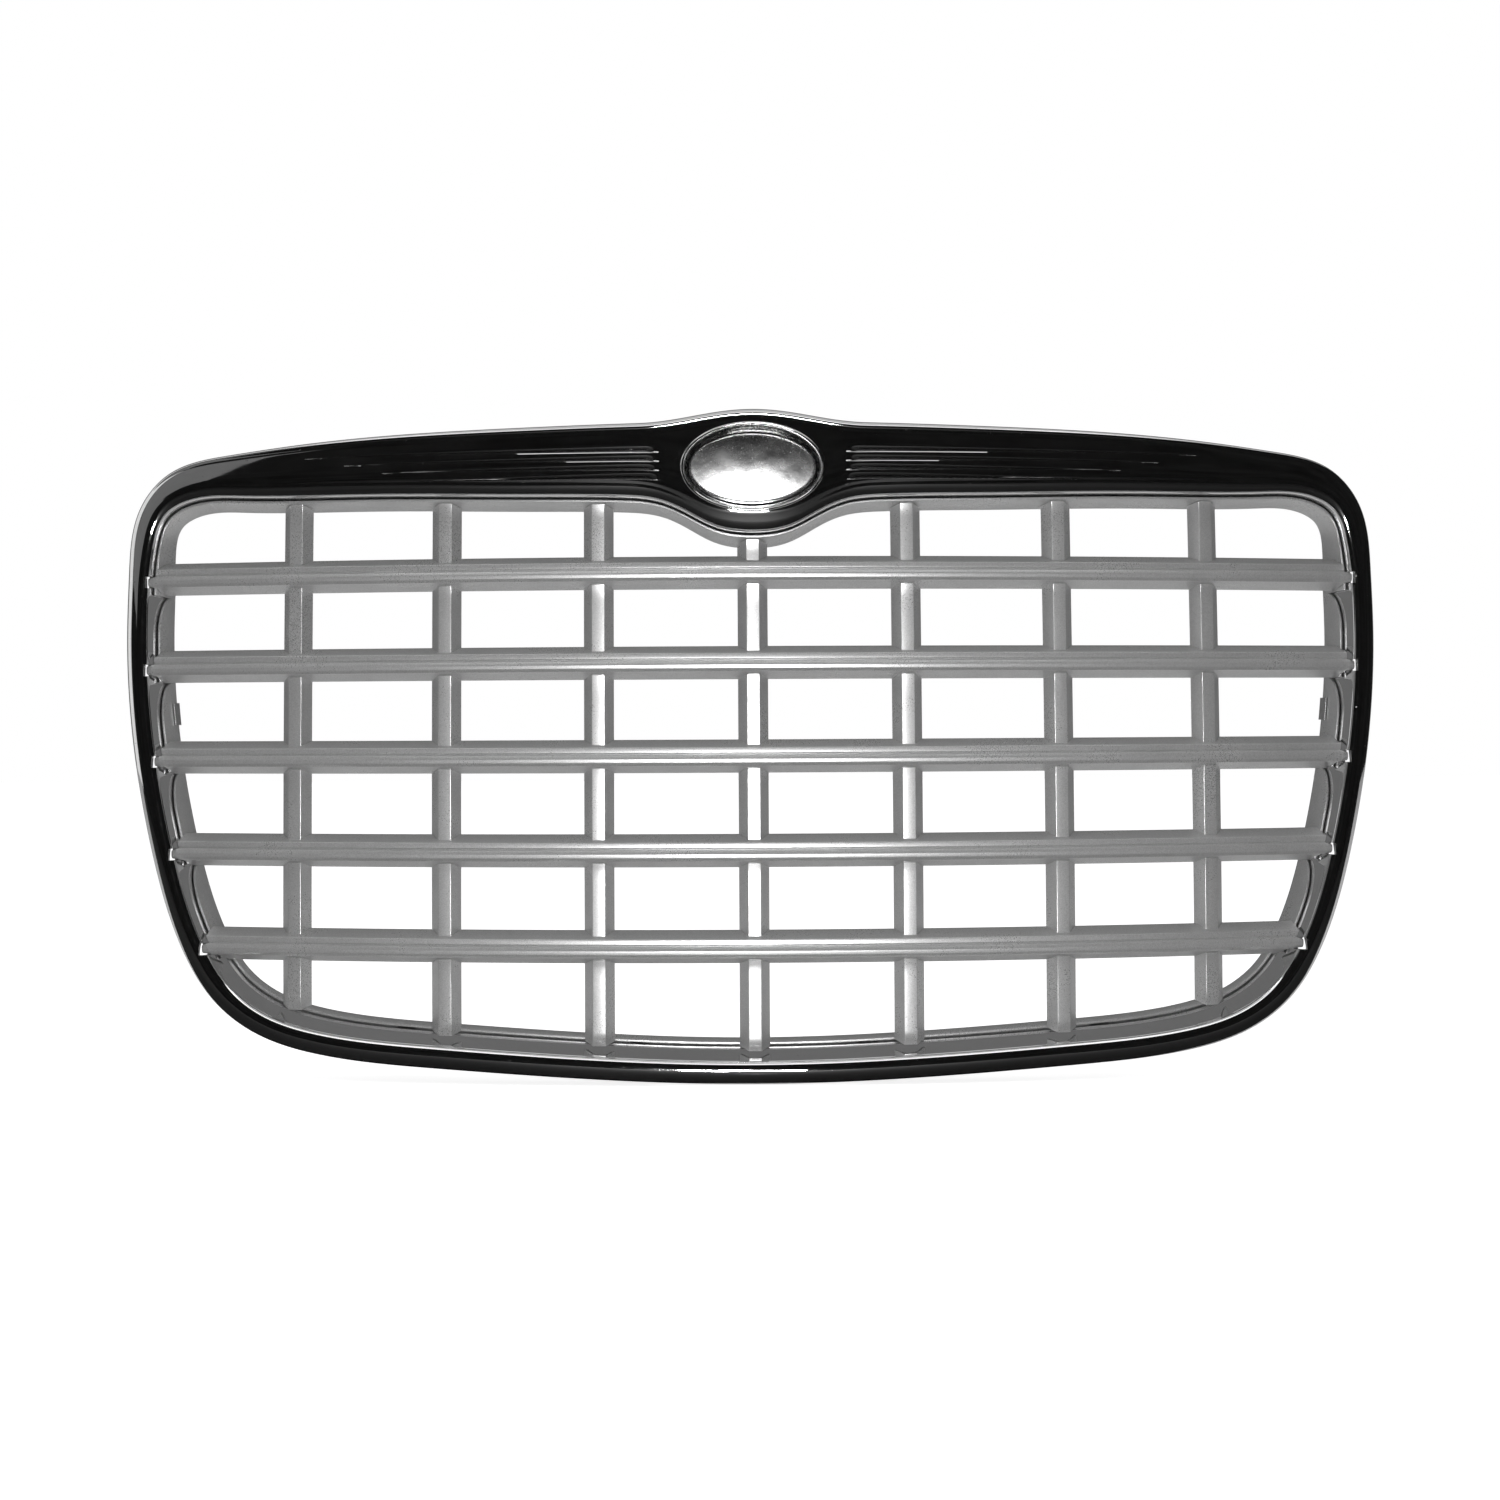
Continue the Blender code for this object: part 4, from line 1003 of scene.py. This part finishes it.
def build_medallion(chrome, back, steel):
    section = [(-inset, t) for inset, t in fillet_section(BEZEL_SECTION, 5)]
    ring = on_medallion(turned(section, OVAL_SIDES, RING_HALF, True))
    bezel = raw_object("medallion_bezel_plated", ring, [chrome])
    finish_piece(bezel, ["medallion_bezel"])
    paints = [disc_material(), back]
    disc = raw_object("medallion_disc_plated", on_medallion(domed_blank()), paints)
    stud = turned([(STUD_R, DISH_FLOOR - 2), (STUD_R, STUD_END - 0.6), (STUD_R - 0.5, STUD_END)])
    apply_boolean(disc, "UNION", joined(on_medallion(stud, side * STUD_X) for side in (-1, 1)), 1)
    finish_piece(disc, ["medallion_disc"])
    for side, word in ((-1, "left"), (1, "right")):
        shape = on_medallion(push_nut(), side * STUD_X)
        nut = raw_object(f"medallion_push_nut_{word}_steel", shape, [steel])
        finish_piece(nut, [f"medallion_push_nut_{word}"])


def push_nut():
    """A dished ring with six teeth that grip the stud."""
    front = DISH_BACK + GAP
    steepness = 6
    rings = []
    for rim, t in ((0, 2.2), (0.15, 0.9), (0.55, 0), (1.0, 0), (1.0, 1.0), (0.6, 1.0), (0.2, 1.9)):
        ring = []
        for turn in turns(PUSH_NUT_SIDES):
            tooth = 0.5 + 0.5 * math.tanh(steepness * math.cos(NUT_TEETH * turn))
            bore = STUD_R + TOOTH_CLEAR + TOOTH_LENGTH * (1 - tooth)
            radius = bore + (PUSH_NUT_R - bore) * rim
            ring.append((radius * math.cos(turn), front + t, radius * math.sin(turn)))
        rings.append(ring)
    return bridge(rings, closed=True)


def threaded_screw():
    """A pan-headed screw, drawn from under the head, with a helical thread and a pointed end."""
    rings = []
    for t in np.arange(-SHANK_LENGTH, THREAD_END, THREAD_STEP):
        ring = []
        taper = min(1, POINT_SHARE + (t + SHANK_LENGTH) * POINT_SLOPE)
        for turn in turns(SCREW_SIDES):
            phase = (t / THREAD_PITCH - turn / (2 * math.pi)) % 1
            radius = SHANK_R * taper * (1 - THREAD_DEPTH * abs(2 * phase - 1) ** 0.8)
            ring.append((radius * math.cos(turn), t, radius * math.sin(turn)))
        rings.append(ring)
    head = [
        (SHANK_R * 0.85, -0.3), (HEAD_R - 0.3, 0), (HEAD_R, 0.3), (HEAD_R * 0.97, 0.9),
        (HEAD_R * 0.8, 1.7), (HEAD_R * 0.45, HEAD_HEIGHT),
    ]
    for radius, t in head:
        rings.append([(radius * math.cos(a), t, radius * math.sin(a)) for a in turns(SCREW_SIDES)])
    return bridge(rings)


def build_screws(steel):
    """One screw's mesh, copied to each place as an object of its own."""
    source = raw_object("screw_source", moved(threaded_screw(), (0, ORIGIN_DEPTH, 0)), [steel])
    reach, half = (-RECESS_REACH, RECESS_REACH), (-RECESS_HALF, RECESS_HALF)
    for across, up in ((reach, half), (half, reach)):
        arm = moved(block(across, RECESS_RANGE, up), (0, ORIGIN_DEPTH, 0))
        apply_boolean(source, "DIFFERENCE", arm)
    for number, (x, end) in enumerate(both_sides(SCREW_PLACES), 1):
        z, depth = screw_spot(x, end)
        under_head = depth + EAR_GAP + EAR_THICK + HEAD_CLEAR
        screw = add_object(f"insert_screw_{number}_steel", source.data.copy())
        screw.location = (x * MM, (skin(x, z) + under_head - ORIGIN_DEPTH) * MM, z * MM)
        finish_piece(screw, [f"insert_screw_{number}"])
    bpy.data.objects.remove(source)


def spring_nut(end):
    front, rear = TAB_FRONT - GAP, TAB_FRONT + TAB_THICK + GAP
    fold = -end * (TAB_HEIGHT[end] + GAP)
    back = fold - end * NUT_THICK
    leg_end = -end * (TAB_HEIGHT[end] - NUT_LEG[end])
    outline = [
        (front - NUT_THICK, leg_end), (front - NUT_THICK, back), (rear + NUT_THICK, back),
        (rear + NUT_THICK, leg_end), (rear, leg_end), (rear, fold), (front, fold),
        (front, leg_end),
    ]
    outline = filleted(outline, [0.3, 1.2, 1.2, 0.3, 0.3, 0.5, 0.5, 0.3], True)
    return bridge([[(x, t, z) for t, z in outline] for x in (-NUT_HALF, NUT_HALF)])


def build_spring_nuts(steel):
    for number, (x, end) in enumerate(both_sides(TAB_PLACES), 1):
        place = seat(x, outline_z(x, end))
        nut = raw_object(f"spring_nut_{number}_steel", moved(spring_nut(end), place), [steel])
        centre = (0, 0, -end * TAB_HOLE_Z[end])
        front = TAB_FRONT - GAP - NUT_THICK
        collar = turned([(radius, front + t) for radius, t in COLLAR])
        bore = hole(NUT_HOLE_R, front - CUT, TAB_FRONT + TAB_THICK + CUT)
        apply_boolean(nut, "UNION", moved(moved(collar, centre), place))
        apply_boolean(nut, "DIFFERENCE", moved(moved(bore, centre), place))
        finish_piece(nut, [f"spring_nut_{number}"])


def build_clips(steel):
    rear = SIDE_WALL_DEPTH + EAR_GAP + EAR_THICK / 2
    inside, outside = INSERT_FACE + GAP, -SHELL - SLANT_GAP
    leg_end = rear - CLIP_LEG
    outline = [
        (inside, leg_end), (inside, rear + GAP), (outside, rear + GAP), (outside, leg_end),
        (outside - CLIP_THICK, leg_end), (outside - CLIP_THICK, rear + GAP + CLIP_THICK),
        (inside + CLIP_THICK, rear + GAP + CLIP_THICK), (inside + CLIP_THICK, leg_end),
    ]
    outline = filleted(outline, [0.3, 0.4, 0.4, 0.3, 0.3, 1.2, 1.2, 0.3], True)
    for side, word in ((-1, "left"), (1, "right")):
        rings = []
        for dz in (-1, -0.94, -0.5, 0, 0.5, 0.94, 1):
            z = CLIP_Z + dz * CLIP_HALF
            rings.append([(side * wall_x(z, t, extra), t, z) for extra, t in outline])
        clip = raw_object(f"side_clip_{word}_steel", draped(bridge(rings)), [steel])
        finish_piece(clip, [f"side_clip_{word}"])


# ---------- stage, light and camera


def plain_material(name, tone, glow=0.0, seen_glow=0.0):
    """Matt paint. glow lights everything, and seen_glow only shows in the picture itself."""
    n = Nodes(name)
    color = n.ramp(n.noise(3, 2), 0.3, 0.7, tone - 0.01, tone)
    n.feed(n.shader.inputs["Emission Color"], (1, 1, 1, 1))
    seen = n.add("ShaderNodeLightPath").outputs["Is Camera Ray"]
    n.feed(n.shader.inputs["Emission Strength"], n.ramp(seen, 0, 1, glow, glow + seen_glow))
    return n.finish(color, n.ramp(n.noise(5, 2), 0, 1, 0.85, 0.95), 0.0)


def stage_mesh(name, points, faces, material):
    mesh = bpy.data.meshes.new(name)
    mesh.from_pydata(points, [], faces)
    mesh.materials.append(material)
    item = add_object(name, mesh)
    return item


def mirror_only(item):
    """Seen in shiny surfaces only, like a studio's flags and cards standing out of shot."""
    item.visible_camera = False
    item.visible_diffuse = False
    item.visible_shadow = False
    item.visible_transmission = False


def card(name, bearings, rises, material, distance):
    """A curved card round the grille, between two bearings from the front and two elevations."""
    points = []
    row = CARD_STEPS + 1
    for rise in np.radians(np.linspace(*rises, row)):
        for turn in np.radians(np.linspace(*bearings, row)):
            across, back = math.cos(rise) * math.sin(turn), -math.cos(rise) * math.cos(turn)
            points.append((distance * across, distance * back, distance * math.sin(rise)))
    faces = [
        (i * row + j, i * row + j + 1, (i + 1) * row + j + 1, (i + 1) * row + j)
        for i in range(CARD_STEPS)
        for j in range(CARD_STEPS)
    ]
    mirror_only(stage_mesh(name, points, faces, material))


def build_stage(floor_z):
    """The pale floor, and the cards and flags that only shiny surfaces see."""
    size = FLOOR_HALF
    pale = plain_material("pale_floor", FLOOR_TONE, 0.0, FLOOR_SEEN_GLOW)
    corners = [(x, y, floor_z) for x, y in ((-size, -size), (size, -size), (size, size), (-size, size))]
    stage_mesh("floor", corners, [(0, 1, 2, 3)], pale)
    paints = {name: plain_material(name, tone, glow) for name, (tone, glow) in CARD_PAINTS.items()}
    for name, paint, bearings, rises, nearer in CARDS:
        card(name, bearings, rises, paints[paint], STUDIO_RADIUS - nearer)
    z = floor_z + FLAG_LIFT
    ground = [(-STUDIO_RADIUS, -STUDIO_RADIUS, z), (STUDIO_RADIUS, -STUDIO_RADIUS, z)]
    ground += [(x, y, z) for x, y in reversed(GROUND_FLAG_EDGE)]
    flag = stage_mesh("ground_flag", ground, [tuple(range(len(ground)))], paints["black_flag"])
    mirror_only(flag)


def area_light(name, place, target, size, power):
    data = bpy.data.lights.new(name, "AREA")
    data.shape = "RECTANGLE"
    data.size, data.size_y = size
    data.energy = power
    item = add_object(name, data)
    item.location = place
    item.rotation_euler = (Vector(target) - Vector(place)).to_track_quat("-Z", "Y").to_euler()
    item.visible_camera = False
    item.visible_glossy = name not in UNMIRRORED_LAMPS


def build_lights():
    """A white backdrop in the picture, a dimmer room round the grille, and the soft lamps."""
    world = bpy.data.worlds.new("studio")
    bpy.context.scene.world = world
    world.use_nodes = True
    tree = world.node_tree
    seen = tree.nodes.new("ShaderNodeLightPath").outputs["Is Camera Ray"]
    level = tree.nodes.new("ShaderNodeMapRange")
    level.inputs["To Min"].default_value = ROOM_LEVEL
    tree.links.new(seen, level.inputs["Value"])
    background = tree.nodes["Background"]
    background.inputs["Color"].default_value = (1, 1, 1, 1)
    tree.links.new(level.outputs["Result"], background.inputs["Strength"])
    for name, (place, target, size, power) in LAMPS.items():
        area_light(name, place, target, size, power)


def build_camera():
    data = bpy.data.cameras.new("camera")
    data.sensor_width, data.lens = SENSOR_WIDTH, LENS
    data.shift_x, data.shift_y = CAMERA_SHIFT
    data.clip_start, data.clip_end = CAMERA_CLIP
    camera = add_object("camera", data)
    camera.location = CAMERA_PLACE
    camera.rotation_euler = [math.radians(angle) for angle in CAMERA_TURN]
    bpy.context.scene.camera = camera


def main():
    chrome, back = chrome_material(), plated_back_material()
    silver, steel = satin_material(), steel_material()
    build_surround(chrome, back)
    build_insert(silver)
    build_lattice(silver)
    build_medallion(chrome, back, steel)
    build_screws(steel)
    build_spring_nuts(steel)
    build_clips(steel)
    build_stage(CAD_BOX[0][2] - FLOOR_CLEAR)
    build_lights()
    build_camera()
    bpy.context.scene.view_settings.view_transform = "Standard"


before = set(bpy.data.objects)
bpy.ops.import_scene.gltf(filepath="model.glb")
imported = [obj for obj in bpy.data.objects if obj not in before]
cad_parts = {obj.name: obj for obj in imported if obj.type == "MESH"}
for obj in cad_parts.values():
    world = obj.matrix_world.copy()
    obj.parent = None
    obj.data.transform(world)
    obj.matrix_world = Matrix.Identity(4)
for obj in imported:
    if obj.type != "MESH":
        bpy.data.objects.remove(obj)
CAD_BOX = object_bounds()
main()
